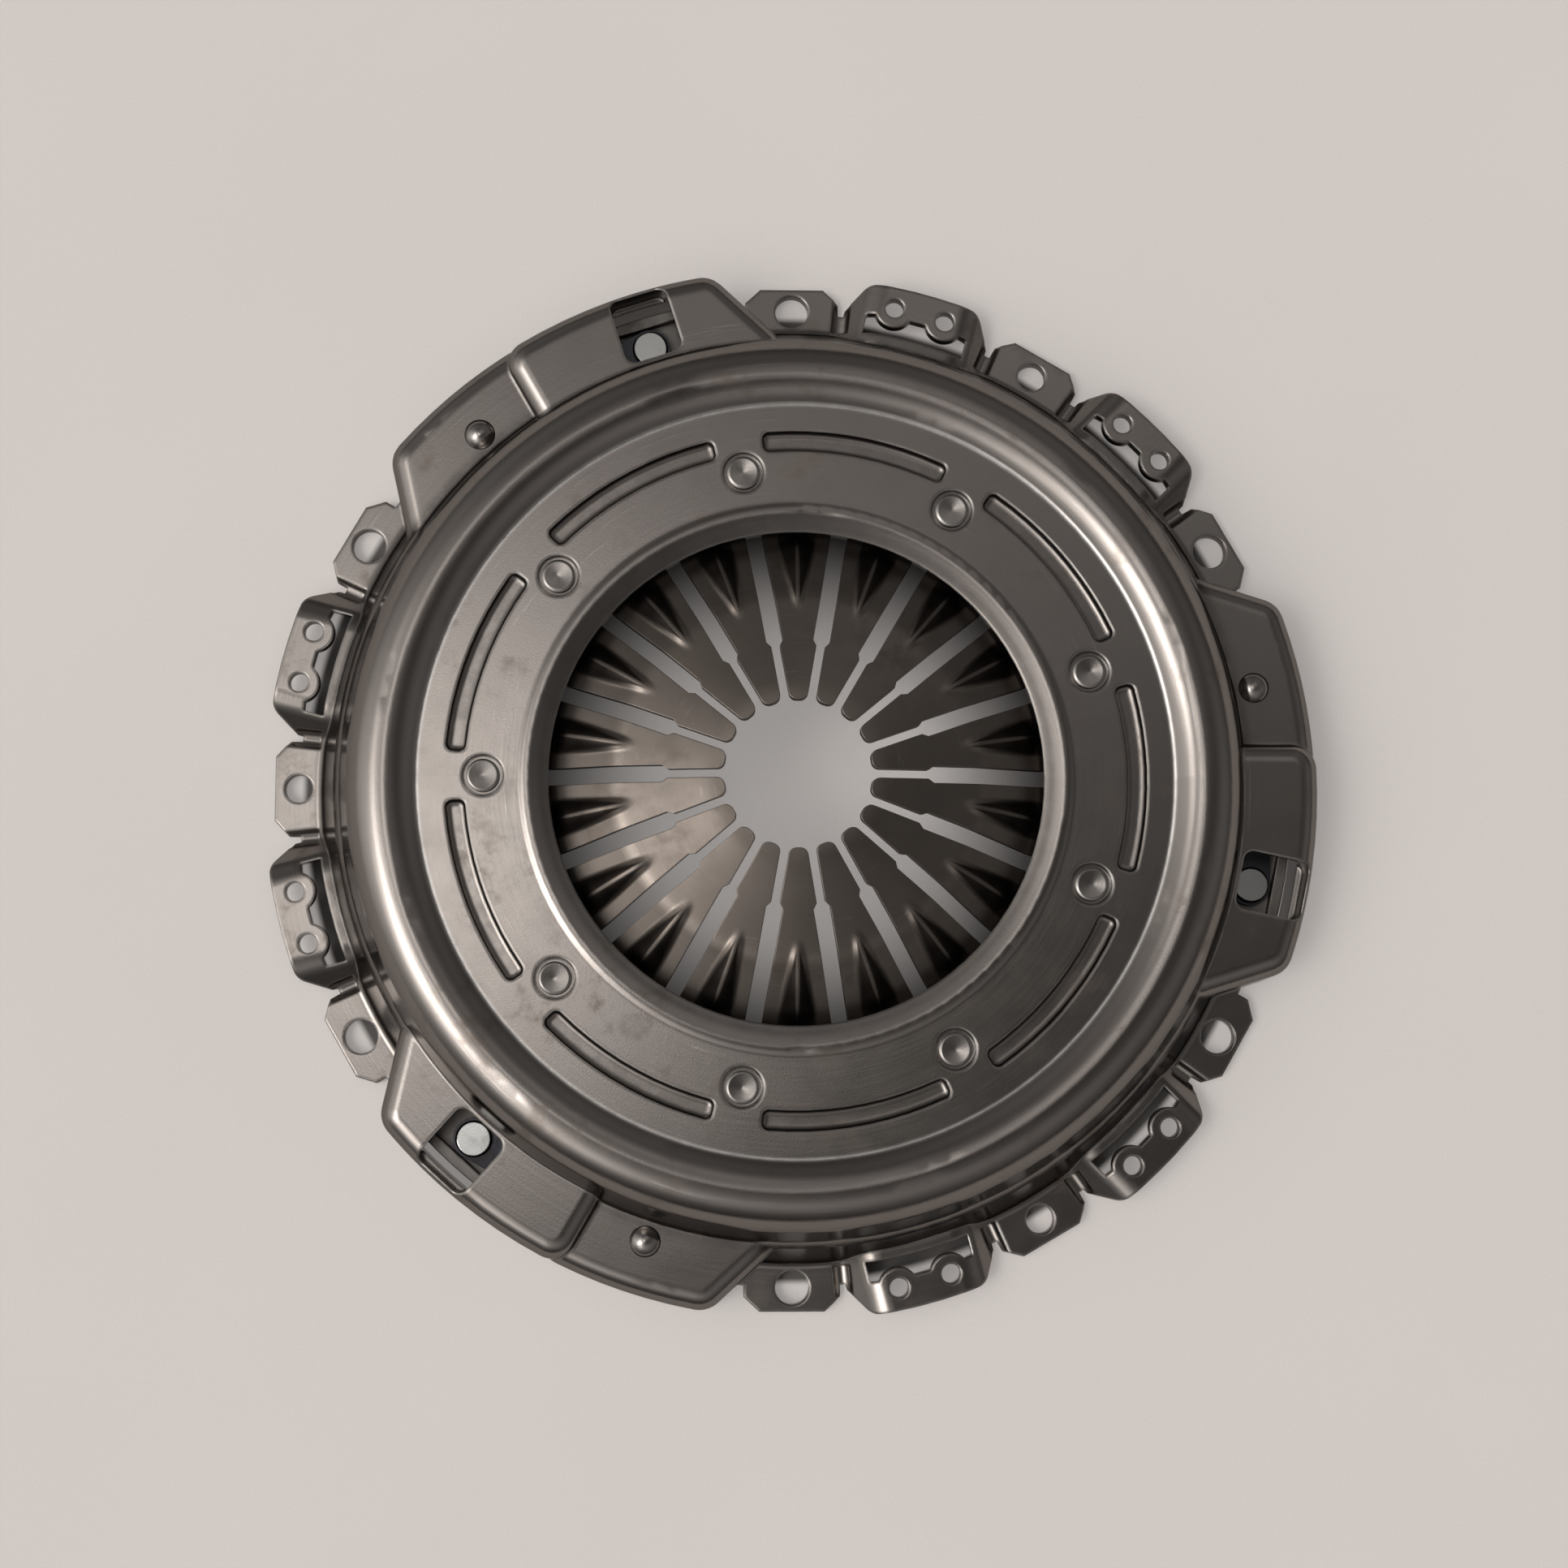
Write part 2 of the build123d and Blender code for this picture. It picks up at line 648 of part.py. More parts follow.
head_seat = annulus_height - rivet_recess_depth
head_top = head_seat + spring_rivet_head_height
collar_bottom = collar_top - spring_rivet_collar_height
spring_rivet_outline = [
    (0, collar_bottom),
    (spring_rivet_collar_radius - spring_rivet_collar_chamfer, collar_bottom),
    (spring_rivet_collar_radius, collar_bottom + spring_rivet_collar_chamfer),
    (spring_rivet_collar_radius, collar_top),
    (spring_rivet_shank_radius + spring_rivet_neck_step, collar_top),
    (spring_rivet_shank_radius + spring_rivet_neck_step, annulus_height - sheet - fit_gap),
    (spring_rivet_shank_radius, annulus_height - sheet - fit_gap),
    (spring_rivet_shank_radius, head_seat),
    (spring_rivet_head_radius, head_seat),
    (spring_rivet_head_radius, head_top - spring_rivet_edge_height),
    (spring_rivet_head_radius - spring_rivet_head_bevel, head_top),
    (0, head_top - spring_rivet_dish_depth),
]
with BuildPart() as spring_rivet:
    with BuildSketch(Plane.XZ):
        with BuildLine():
            Polyline(*spring_rivet_outline, close=True)
        make_face()
    revolve(axis=Axis.Z)

for number, angle in enumerate(spring_rivet_angles, 1):
    with BuildPart() as fulcrum_rivet:
        with PolarLocations(spring_rivet_circle_radius, 1, angle):
            add(spring_rivet.part)
    fulcrum_rivet.part.label = f"fulcrum_rivet_{number}"
    export_step(fulcrum_rivet.part, f"parts/fulcrum_rivet_{number}.step")

# ---------------------------------------------------------------- pressure plate
fulcrum_foot_half_width = fulcrum_nose_radius + fulcrum_foot_spread
with BuildPart() as lug:
    with BuildSketch(Plane.XY.offset(lug_bottom)):
        Circle(lug_reach)
        with Locations((plate_fulcrum_radius, 0)):
            Rectangle(
                lug_reach,
                2 * lug_half_width,
                align=(Align.MIN, Align.CENTER),
                mode=Mode.INTERSECT,
            )
    extrude(amount=lug_seat - lug_bottom)

with BuildPart() as lug_lip:
    with BuildSketch(Plane.XY.offset(lug_bottom)):
        Circle(lug_reach)
        with Locations((lug_lip_start, 0)):
            Rectangle(
                lug_reach,
                2 * lug_half_width,
                align=(Align.MIN, Align.CENTER),
                mode=Mode.INTERSECT,
            )
    extrude(amount=lug_seat + lug_lip_height - lug_bottom)

with BuildPart() as pressure_plate:
    with BuildSketch(Plane.XZ):
        with BuildLine():
            Polyline(
                (plate_fulcrum_radius - fulcrum_nose_radius, nose_height),
                (plate_fulcrum_radius - fulcrum_foot_half_width, plate_back),
                (plate_inner_radius, plate_back),
                (plate_inner_radius, plate_hang),
                (plate_outer_radius, plate_hang),
                (plate_outer_radius, plate_back),
                (plate_fulcrum_radius + fulcrum_foot_half_width, plate_back),
                (plate_fulcrum_radius + fulcrum_nose_radius, nose_height),
            )
            ThreePointArc(
                (plate_fulcrum_radius + fulcrum_nose_radius, nose_height),
                (plate_fulcrum_radius, nose_height + fulcrum_nose_radius),
                (plate_fulcrum_radius - fulcrum_nose_radius, nose_height),
            )
        make_face()
    revolve(axis=Axis.Z)
    chamfer(pressure_plate.edges().group_by(Axis.Z)[0], plate_edge_chamfer)
    with BuildSketch(Plane.XY.offset(plate_back + vent_floor)):
        with PolarLocations(plate_fulcrum_radius, vent_count, spring_rivet_angles[0]):
            Rectangle(2 * plate_thickness, vent_width)
    extrude(amount=through, mode=Mode.SUBTRACT)
    around([angle - lug_angle for angle in pad_angles], lug.part)
    around([angle - lug_angle for angle in pad_angles], lug_lip.part)
    with PolarLocations(strap_rivet_radius, pad_count, -lug_angle):
        Cylinder(plate_rivet_shank_radius + fit_gap, through, mode=Mode.SUBTRACT)
        with Locations((0, 0, lug_bottom)):
            Cylinder(
                strap_rivet_tail_radius + counterbore_gap,
                2 * (strap_rivet_tail_height + counterbore_gap),
                mode=Mode.SUBTRACT,
            )
pressure_plate.part.label = "pressure_plate"
export_step(pressure_plate.part, "parts/pressure_plate.step")

# ---------------------------------------------------------------- straps
strap_ends = [(strap_offset, strap_half_span), (strap_offset, -strap_half_span)]


def strap_leaf(roof):
    """One leaf of a strap, its cover end lying under a flat at the height roof."""
    points = [
        (-strap_half_span - strap_width, roof - strap_drop),
        (-strap_half_span + strap_flat, roof - strap_drop),
        (strap_half_span - strap_flat, roof),
        (strap_half_span + strap_width, roof),
    ]
    rounds = [-strap_bend_round, strap_bend_round]
    section = bent_sheet(points, rounds, strap_leaf_thickness, Plane.YZ)
    with BuildPart() as leaf:
        extrude(section, amount=ring_radius * 2, dir=(1, 0, 0))
        with BuildSketch():
            with Locations(Location((strap_offset, 0, 0), (0, 0, 90))):
                SlotCenterToCenter(2 * strap_half_span, strap_width)
        extrude(amount=through, mode=Mode.INTERSECT)
        with Locations(strap_ends[0]):
            Cylinder(cover_rivet_shank_radius + fit_gap, through, mode=Mode.SUBTRACT)
        with Locations(strap_ends[1]):
            Cylinder(plate_rivet_shank_radius + fit_gap, through, mode=Mode.SUBTRACT)
    return leaf.part


leaves = [strap_leaf(strap_roof - fit_gap - strap_pitch * k) for k in range(strap_leaf_count)]
for pad, angle in enumerate(pad_angles, 1):
    for number, leaf in enumerate(leaves, 1):
        with BuildPart() as strap:
            around([angle], leaf)
        strap.part.label = f"strap_{pad}_leaf_{number}"
        export_step(strap.part, f"parts/strap_{pad}_leaf_{number}.step")

# ---------------------------------------------------------------- strap rivets
cover_tail_top = strap_roof - strap_leaf_count * strap_pitch - fit_gap
with BuildPart() as cover_rivet:
    with BuildSketch(Plane.XZ):
        with BuildLine():
            Polyline(
                (cover_rivet_head_radius, strap_pad_height),
                (cover_rivet_shank_radius, strap_pad_height),
                (cover_rivet_shank_radius, cover_tail_top),
                (strap_rivet_tail_radius, cover_tail_top),
                (strap_rivet_tail_radius, cover_tail_top - strap_rivet_tail_height),
                (0, cover_tail_top - strap_rivet_tail_height),
                (0, strap_pad_height + cover_rivet_head_height),
            )
            RadiusArc(
                (0, strap_pad_height + cover_rivet_head_height),
                (cover_rivet_head_radius, strap_pad_height),
                (cover_rivet_head_radius**2 + cover_rivet_head_height**2)
                / (2 * cover_rivet_head_height),
            )
        make_face()
    revolve(axis=Axis.Z)

plate_head_seat = lug_seat + strap_leaf_count * strap_pitch
plate_tail_top = lug_bottom + counterbore_gap + strap_rivet_tail_height
plate_rivet_outline = [
    (0, plate_head_seat + plate_rivet_head_height),
    (
        plate_rivet_head_radius - plate_rivet_head_bevel,
        plate_head_seat + plate_rivet_head_height,
    ),
    (
        plate_rivet_head_radius,
        plate_head_seat + plate_rivet_head_height - plate_rivet_head_bevel,
    ),
    (plate_rivet_head_radius, plate_head_seat),
    (plate_rivet_shank_radius, plate_head_seat),
    (plate_rivet_shank_radius, plate_tail_top),
    (strap_rivet_tail_radius, plate_tail_top),
    (strap_rivet_tail_radius, plate_tail_top - strap_rivet_tail_height),
    (0, plate_tail_top - strap_rivet_tail_height),
]
with BuildPart() as plate_rivet:
    with BuildSketch(Plane.XZ):
        with BuildLine():
            Polyline(*plate_rivet_outline, close=True)
        make_face()
    revolve(axis=Axis.Z)

for number, angle in enumerate(pad_angles, 1):
    with BuildPart() as strap_cover_rivet:
        with PolarLocations(strap_rivet_radius, 1, angle + lug_angle):
            add(cover_rivet.part)
    strap_cover_rivet.part.label = f"strap_cover_rivet_{number}"
    export_step(strap_cover_rivet.part, f"parts/strap_cover_rivet_{number}.step")

    with BuildPart() as strap_plate_rivet:
        with PolarLocations(strap_rivet_radius, 1, angle - lug_angle):
            add(plate_rivet.part)
    strap_plate_rivet.part.label = f"strap_plate_rivet_{number}"
    export_step(strap_plate_rivet.part, f"parts/strap_plate_rivet_{number}.step")
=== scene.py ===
"""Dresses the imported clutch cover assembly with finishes, bent springs, light and a camera."""

from __future__ import annotations

import json
import logging
import math
from dataclasses import dataclass
from enum import Enum
from typing import Sequence

import bmesh
import bpy
from mathutils import Matrix, Vector

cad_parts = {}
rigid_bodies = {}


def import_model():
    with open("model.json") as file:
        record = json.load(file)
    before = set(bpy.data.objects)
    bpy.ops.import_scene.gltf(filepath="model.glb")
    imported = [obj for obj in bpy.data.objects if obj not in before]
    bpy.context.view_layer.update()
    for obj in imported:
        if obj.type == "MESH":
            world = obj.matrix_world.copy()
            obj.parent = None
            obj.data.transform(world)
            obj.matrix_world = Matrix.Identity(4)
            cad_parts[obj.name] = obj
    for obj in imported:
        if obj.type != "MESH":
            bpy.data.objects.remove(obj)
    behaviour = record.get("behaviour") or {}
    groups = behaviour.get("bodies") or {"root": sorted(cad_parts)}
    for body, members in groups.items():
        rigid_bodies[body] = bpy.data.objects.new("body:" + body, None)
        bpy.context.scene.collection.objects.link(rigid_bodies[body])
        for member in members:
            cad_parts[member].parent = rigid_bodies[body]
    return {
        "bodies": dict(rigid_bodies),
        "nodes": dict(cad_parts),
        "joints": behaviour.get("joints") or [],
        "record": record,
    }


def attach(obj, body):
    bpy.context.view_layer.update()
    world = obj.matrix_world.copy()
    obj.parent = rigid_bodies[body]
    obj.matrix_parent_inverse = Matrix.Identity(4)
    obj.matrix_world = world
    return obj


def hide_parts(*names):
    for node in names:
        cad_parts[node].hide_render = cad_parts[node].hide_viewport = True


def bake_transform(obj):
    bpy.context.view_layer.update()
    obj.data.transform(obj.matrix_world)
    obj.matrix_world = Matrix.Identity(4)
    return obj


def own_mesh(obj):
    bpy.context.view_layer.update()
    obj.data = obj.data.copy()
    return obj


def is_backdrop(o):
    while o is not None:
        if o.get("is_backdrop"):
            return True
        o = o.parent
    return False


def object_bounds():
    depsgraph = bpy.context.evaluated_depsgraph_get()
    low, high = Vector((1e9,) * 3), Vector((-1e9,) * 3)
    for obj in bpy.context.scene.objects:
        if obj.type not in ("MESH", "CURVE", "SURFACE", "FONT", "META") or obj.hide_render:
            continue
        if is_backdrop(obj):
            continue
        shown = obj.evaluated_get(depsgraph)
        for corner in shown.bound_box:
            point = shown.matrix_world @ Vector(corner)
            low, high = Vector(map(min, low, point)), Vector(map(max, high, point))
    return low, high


LOG = logging.getLogger("clutch_scene")
MM = 0.001

# Metres for each radian round the axis, where noise is read for marks drawn round it.
DRAWN_PITCH = 0.004

# Sockets of Blender's Mix node when it mixes colours.
MIX_FACTOR, MIX_FIRST, MIX_SECOND, MIX_RESULT = 0, 6, 7, 2

# The bent spring's sheet: lengths in millimetres, the angle in degrees, WELD in metres.
BEND_STEPS = 6
SLOPE_STEP = 0.5
STEP_CLEARANCE = 0.35
EYE_CLEARANCE = 0.3
BEVEL_ANGLE = 50.0
BEVEL_SEGMENTS = 2
WELD = 1e-6

# Directions of the three strap packs in degrees.
PACK_ANGLES = (0.0, 120.0, 240.0)

Colour = tuple[float, float, float]
Line = Sequence[tuple[float, float]]


class Slot(str, Enum):
    """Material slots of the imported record."""

    COVER = "cover_steel"
    SPRING = "spring_steel"
    WIRE = "wire_steel"
    RIVET = "rivet_steel"
    IRON = "cast_iron"
    BLUED = "blued_steel"
    ZINC = "zinc_steel"


@dataclass(frozen=True)
class Band:
    """A ring of painted shade or painted highlight on a part, in metres.

    The ring is strongest at its middle radius and height and fades over its reach in each.
    """

    radius: float
    height: float
    radius_reach: float
    height_reach: float
    share: float
    broken: float = 0.5


@dataclass(frozen=True)
class MetalFinish:
    """How one metal looks.

    Colours are linear. Scales are in features per metre. grazing is the tint that darkens
    the metal where it is seen almost edge on.
    """

    slot: Slot
    colour: Colour
    stain: Colour
    bright: Colour
    roughness: float
    roughness_range: float
    mottle_scale: float
    scratch_depth: float
    grain_scale: float
    grain_depth: float
    edge_radius: float
    grazing: float = 1.0
    metallic: float = 1.0
    # Bands of painted shade, the dark colour they paint, and bands of painted highlight.
    painted_shade: tuple[Band, ...] = ()
    painted_shade_colour: Colour = (0.012, 0.010, 0.009)
    painted_highlight: tuple[Band, ...] = ()
    # Share of painted shade on the flanks of the fingers' ribs.
    rib_shade: float = 0.0


FINISHES = (
    MetalFinish(
        slot=Slot.COVER,
        colour=(0.190, 0.174, 0.162),
        stain=(0.150, 0.130, 0.114),
        bright=(0.42, 0.405, 0.39),
        roughness=0.165,
        roughness_range=0.05,
        mottle_scale=110.0,
        scratch_depth=0.12,
        grain_scale=2600.0,
        grain_depth=0.12,
        edge_radius=1.1 * MM,
        grazing=0.55,
        # Painted shade at the wall's creases, at its foot, along the grooves and at the inner
        # lip.
        painted_shade=(
            Band(115.6 * MM, 20.0 * MM, 1.6 * MM, 1.2 * MM, 0.85, 0.4),
            Band(118.5 * MM, 9.0 * MM, 3.6 * MM, 9.0 * MM, 0.45, 0.3),
            Band(111.5 * MM, 30.0 * MM, 2.5 * MM, 5.0 * MM, 0.25, 0.3),
            Band(83.98 * MM, 36.0 * MM, 4.0 * MM, 1.2 * MM, 0.20, 0.8),
            Band(62.6 * MM, 38.0 * MM, 1.4 * MM, 2.5 * MM, 0.45, 0.2),
        ),
        # Painted highlight along the step at the outer edge of the flat ring.
        painted_highlight=(Band(93.3 * MM, 38.4 * MM, 0.5 * MM, 1.6 * MM, 1.0, 0.3),),
    ),
    MetalFinish(
        slot=Slot.SPRING,
        colour=(0.128, 0.111, 0.098),
        stain=(0.090, 0.074, 0.062),
        bright=(0.26, 0.24, 0.22),
        roughness=0.29,
        roughness_range=0.08,
        mottle_scale=90.0,
        scratch_depth=0.10,
        grain_scale=3200.0,
        grain_depth=0.14,
        edge_radius=0.35 * MM,
        grazing=0.4,
        # Painted shade where the fingers run in under the cover, and a faint patchy painted
        # shade over the inner fingers.
        painted_shade=(
            Band(61.5 * MM, 34.0 * MM, 6.0 * MM, 6.0 * MM, 0.80, 0.1),
            Band(36.0 * MM, 43.0 * MM, 12.0 * MM, 9.0 * MM, 0.15, 0.7),
        ),
        # Painted shade on the flanks of the fingers' ribs.
        rib_shade=0.9,
    ),
    MetalFinish(
        slot=Slot.WIRE,
        colour=(0.17, 0.16, 0.15),
        stain=(0.09, 0.08, 0.07),
        bright=(0.36, 0.35, 0.33),
        roughness=0.30,
        roughness_range=0.08,
        mottle_scale=60.0,
        scratch_depth=0.10,
        grain_scale=2400.0,
        grain_depth=0.05,
        edge_radius=0.2 * MM,
        grazing=0.6,
    ),
    MetalFinish(
        slot=Slot.RIVET,
        colour=(0.225, 0.210, 0.198),
        stain=(0.150, 0.135, 0.122),
        bright=(0.42, 0.40, 0.38),
        roughness=0.20,
        roughness_range=0.10,
        mottle_scale=160.0,
        scratch_depth=0.10,
        grain_scale=2600.0,
        grain_depth=0.12,
        edge_radius=0.45 * MM,
        grazing=0.6,
    ),
    MetalFinish(
        slot=Slot.IRON,
        colour=(0.150, 0.140, 0.130),
        stain=(0.070, 0.063, 0.058),
        bright=(0.36, 0.34, 0.32),
        roughness=0.42,
        roughness_range=0.12,
        mottle_scale=80.0,
        scratch_depth=0.0,
        grain_scale=1300.0,
        grain_depth=0.45,
        edge_radius=0.6 * MM,
        grazing=0.7,
    ),
    MetalFinish(
        slot=Slot.BLUED,
        colour=(0.040, 0.040, 0.046),
        stain=(0.020, 0.018, 0.018),
        bright=(0.14, 0.15, 0.18),
        roughness=0.30,
        roughness_range=0.08,
        mottle_scale=90.0,
        scratch_depth=0.10,
        grain_scale=2600.0,
        grain_depth=0.06,
        edge_radius=0.15 * MM,
        grazing=0.5,
    ),
    MetalFinish(
        slot=Slot.ZINC,
        colour=(0.38, 0.385, 0.375),
        stain=(0.24, 0.24, 0.23),
        bright=(0.50, 0.50, 0.48),
        roughness=0.20,
        roughness_range=0.10,
        mottle_scale=160.0,
        scratch_depth=0.10,
        grain_scale=2600.0,
        grain_depth=0.10,
        edge_radius=0.4 * MM,
        grazing=0.7,
    ),
)


@dataclass(frozen=True)
class SurfaceMarks:
    """Numbers of the marks that all the metals share.

    A range is the noise value where a mark begins and the one where it is full. Scales are
    in features per metre, heights in metres.
    """

    mottle_detail: float = 5.0
    mottle_roughness: float = 0.6
    patch_scale: float = 0.35
    patch_detail: float = 3.0
    patch_range: tuple[float, float] = (0.42, 0.62)
    stain_range: tuple[float, float] = (0.50, 0.72)
    stain_roughness: float = 0.08
    drawn_scale: float = 900.0
    drawn_detail: float = 4.0
    drawn_roughness: float = 0.65
    drawn_range: tuple[float, float] = (0.62, 0.75)
    drawn_share: float = 0.25
    drawn_height: float = 0.00012
    grain_detail: float = 3.0
    grain_roughness: float = 0.6
    grain_height: float = 0.00008
    edge_samples: int = 6
    edge_range: tuple[float, float] = (0.995, 0.85)
    worn_range: tuple[float, float] = (0.35, 0.6)
    worn_share: float = 0.7
    # Roughness added where shade is painted.
    painted_shade_roughness: float = 0.2
    ring_break_scale: float = 180.0
    ring_break_detail: float = 4.0
    ring_break_roughness: float = 0.6
    ring_break_range: tuple[float, float] = (0.35, 0.62)


MARKS = SurfaceMarks()


@dataclass(frozen=True)
class RibShade:
    """Where shade is painted on the flanks of the fingers' ribs.

    Lengths are in metres. Flank says where the dark ends and where it is full, as shares
    of the rib's half width.
    """

    tip_half_width: float = 0.0002
    root_inset: float = 0.003
    fade: float = 0.004
    flank: tuple[float, float] = (1.15, 0.6)
    crest: tuple[float, float] = (0.0007, 0.0002)
    crest_share: float = 0.75


@dataclass(frozen=True)
class SpringShape:
    """Sizes of the diaphragm spring in millimetres, the same as in the solids.

    A share is of the rib's half width or of its length. Rows and columns count the lines of
    the bent sheet's vertices.
    """

    fingers: int = 18
    tip_radius: float = 18.0
    tip_corner: float = 1.7
    rim_radius: float = 104.48
    eye_centre: float = 76.98
    eye_radius: float = 4.6
    step_radius: float = 33.0
    step_length: float = 1.4
    narrow: float = 2.1
    wide: float = 4.1
    thickness: float = 2.6
    profile: tuple[tuple[float, float], ...] = (
        (18.0, 46.58),
        (44.98, 41.58),
        (60.48, 33.28),
        (80.18, 33.28),
        (104.48, 26.85),
    )
    bend: float = 12.0
    rib_start: float = 40.0
    rib_end: float = 60.6
    rib_half_width: float = 4.6
    rib_tip_share: float = 0.25
    rib_root_share: float = 0.85
    rib_root_round: float = 7.0
    rib_height: float = 2.3
    rib_rise_share: float = 0.6
    rib_fall_share: float = 0.2
    rib_sharpness: float = 1.5
    tip_fall: float = 0.35
    tip_fall_length: float = 5.0
    edge_round: float = 0.25
    rows: int = 96
    tip_rows: int = 5
    eye_rows: int = 8
    columns: int = 21


@dataclass(frozen=True)
class CameraPlace:
    """Where the camera stands, in metres, and how it is turned, in degrees."""

    place: tuple[float, float, float] = (-0.0256, -0.0655, 0.6562)
    tilt: float = 5.87
    lean: float = -2.07
    angle: float = 34.39
    near: float = 0.01


@dataclass(frozen=True)
class FloorLook:
    """Shape and colours of the floor, which turns up slightly far away.

    Lengths are in metres, scales in features per metre. A range of radii is where the shade
    under the part begins and where it is full.
    """

    flat_radius: float = 18.0
    reach: float = 40.0
    rise: float = 3.4
    sides: int = 96
    drop: float = 0.0003
    roughness: float = 0.75
    dark_tone: Colour = (0.415, 0.388, 0.370)
    light_tone: Colour = (0.460, 0.432, 0.414)
    tone_scale: float = 9.0
    tone_detail: float = 3.0
    fibre: Colour = (0.25, 0.22, 0.20)
    fibre_scale: float = 1500.0
    fibre_detail: float = 3.0
    fibre_roughness: float = 0.7
    fibre_range: tuple[float, float] = (0.35, 0.7)
    fibre_share: float = 0.10
    # The shadow painted on the floor under the part.
    shade: Colour = (0.03, 0.028, 0.026)
    shade_share: float = 0.88
    shade_inner: tuple[float, float] = (0.032, 0.072)
    shade_outer: tuple[float, float] = (0.1270, 0.1248)
    glow: Colour = (1.0, 0.95, 0.92)
    glow_strength: float = 0.23


@dataclass(frozen=True)
class Glow:
    """One soft bright patch of the room, seen from the part.

    Azimuth and height are in degrees. The sharper a patch is, the smaller it is.
    """

    azimuth: float
    height: float
    sharpness: float
    strength: float

    def direction(self) -> Vector:
        """Where the patch is.

        Returns:
            A unit vector towards its middle.
        """
        turn, rise = math.radians(self.azimuth), math.radians(self.height)
        flat = math.cos(rise)
        return Vector((flat * math.cos(turn), flat * math.sin(turn), math.sin(rise)))


ROOM_COLOUR = (1.0, 0.97, 0.945)
ROOM = (
    Glow(140, 83, 220, 2.70),
    Glow(158, 83, 220, 1.15),
    Glow(140, 76, 140, 0.60),
    Glow(67, 68, 36, 0.60),
    Glow(157, 68, 36, 0.45),
    Glow(202, 68, 36, 0.25),
    Glow(200, 60, 90, 8.50),
    Glow(180, 60, 90, 2.60),
    Glow(160, 60, 90, 0.90),
    Glow(200, 48, 50, 3.20),
    Glow(230, 48, 50, 1.40),
    Glow(180, 52, 18, 0.55),
    Glow(225, 52, 18, 0.80),
    Glow(270, 52, 18, 0.45),
    Glow(315, 52, 18, 0.20),
    Glow(0, 31, 9, 0.32),
    Glow(60, 31, 9, 0.25),
    Glow(120, 31, 9, 0.25),
    Glow(180, 31, 9, 1.05),
    Glow(240, 31, 9, 0.18),
    Glow(300, 31, 9, 0.22),
    Glow(180, 8, 6, 0.45),
)


class NodeGraph:
    """Short calls that add nodes to one node tree."""

    def __init__(self, tree: bpy.types.NodeTree) -> None:
        self.tree = tree

    def node(self, kind: str, **settings: object) -> bpy.types.Node:
        """Adds a node and sets its properties.

        Args:
            kind: Blender's node type name.
            settings: Property values of the node.

        Returns:
            The new node.
        """
        made = self.tree.nodes.new(kind)
        for name, value in settings.items():
            setattr(made, name, value)
        return made

    def feed(self, socket: bpy.types.NodeSocket, source: object) -> None:
        """Links a socket to another one, or sets its constant.

        Args:
            socket: The input socket.
            source: An output socket, a number or a tuple.
        """
        if isinstance(source, bpy.types.NodeSocket):
            self.tree.links.new(source, socket)
        elif isinstance(source, (int, float)):
            socket.default_value = source
        else:
            values = tuple(source)
            if len(values) == 3 and len(socket.default_value) == 4:
                values = (*values, 1.0)
            socket.default_value = values

    def call(self, group: bpy.types.NodeTree, values: dict[str, object]) -> bpy.types.Node:
        """Adds a node that uses a group.

        Args:
            group: The group.
            values: Sockets or constants by the names of the group's inputs.

        Returns:
            The new node.
        """
        made = self.node("ShaderNodeGroup", node_tree=group)
        for label, value in values.items():
            self.feed(made.inputs[label], value)
        return made

    def math(self, operation: str, *inputs: object, clamp: bool = False) -> bpy.types.NodeSocket:
        """Adds a Math node.

        Args:
            operation: Blender's operation name.
            inputs: Sockets or numbers for its inputs, in order.
            clamp: Whether its result is clamped to 0..1.

        Returns:
            The result's socket.
        """
        made = self.node("ShaderNodeMath", operation=operation, use_clamp=clamp)
        for socket, source in zip(made.inputs, inputs):
            self.feed(socket, source)
        return made.outputs[0]

    def ramp(
        self, value: object, low: float, high: float, to_low: float = 0.0, to_high: float = 1.0
    ) -> bpy.types.NodeSocket:
        """Maps a value smoothly from one range to another.

        Args:
            value: The socket to map.
            low: The value that gives to_low.
            high: The value that gives to_high.
            to_low: Result at low and below.
            to_high: Result at high and above.

        Returns:
            The mapped value's socket.
        """
        made = self.node("ShaderNodeMapRange", interpolation_type="SMOOTHSTEP")
        for name, source in (
            ("Value", value),
            ("From Min", low),
            ("From Max", high),
            ("To Min", to_low),
            ("To Max", to_high),
        ):
            self.feed(made.inputs[name], source)
        return made.outputs["Result"]

    def mix(self, factor: object, first: object, second: object) -> bpy.types.NodeSocket:
        """Mixes two colours.

        Args:
            factor: Share of the second colour.
            first: Socket or colour.
            second: Socket or colour.

        Returns:
            The mixed colour's socket.
        """
        made = self.node("ShaderNodeMix", data_type="RGBA")
        self.feed(made.inputs[MIX_FACTOR], factor)
        self.feed(made.inputs[MIX_FIRST], first)
        self.feed(made.inputs[MIX_SECOND], second)
        return made.outputs[MIX_RESULT]

    def noise(
        self, vector: bpy.types.NodeSocket, scale: object, detail: float, roughness: float = 0.5
    ) -> bpy.types.NodeSocket:
        """Adds a noise texture.

        Args:
            vector: Where it is read.
            scale: Features per unit of the vector.
            detail: Octaves.
            roughness: Share of the finer octaves.

        Returns:
            The noise value's socket.
        """
        made = self.node("ShaderNodeTexNoise")
        self.feed(made.inputs["Vector"], vector)
        self.feed(made.inputs["Scale"], scale)
        self.feed(made.inputs["Detail"], detail)
        self.feed(made.inputs["Roughness"], roughness)
        return made.outputs["Fac"]


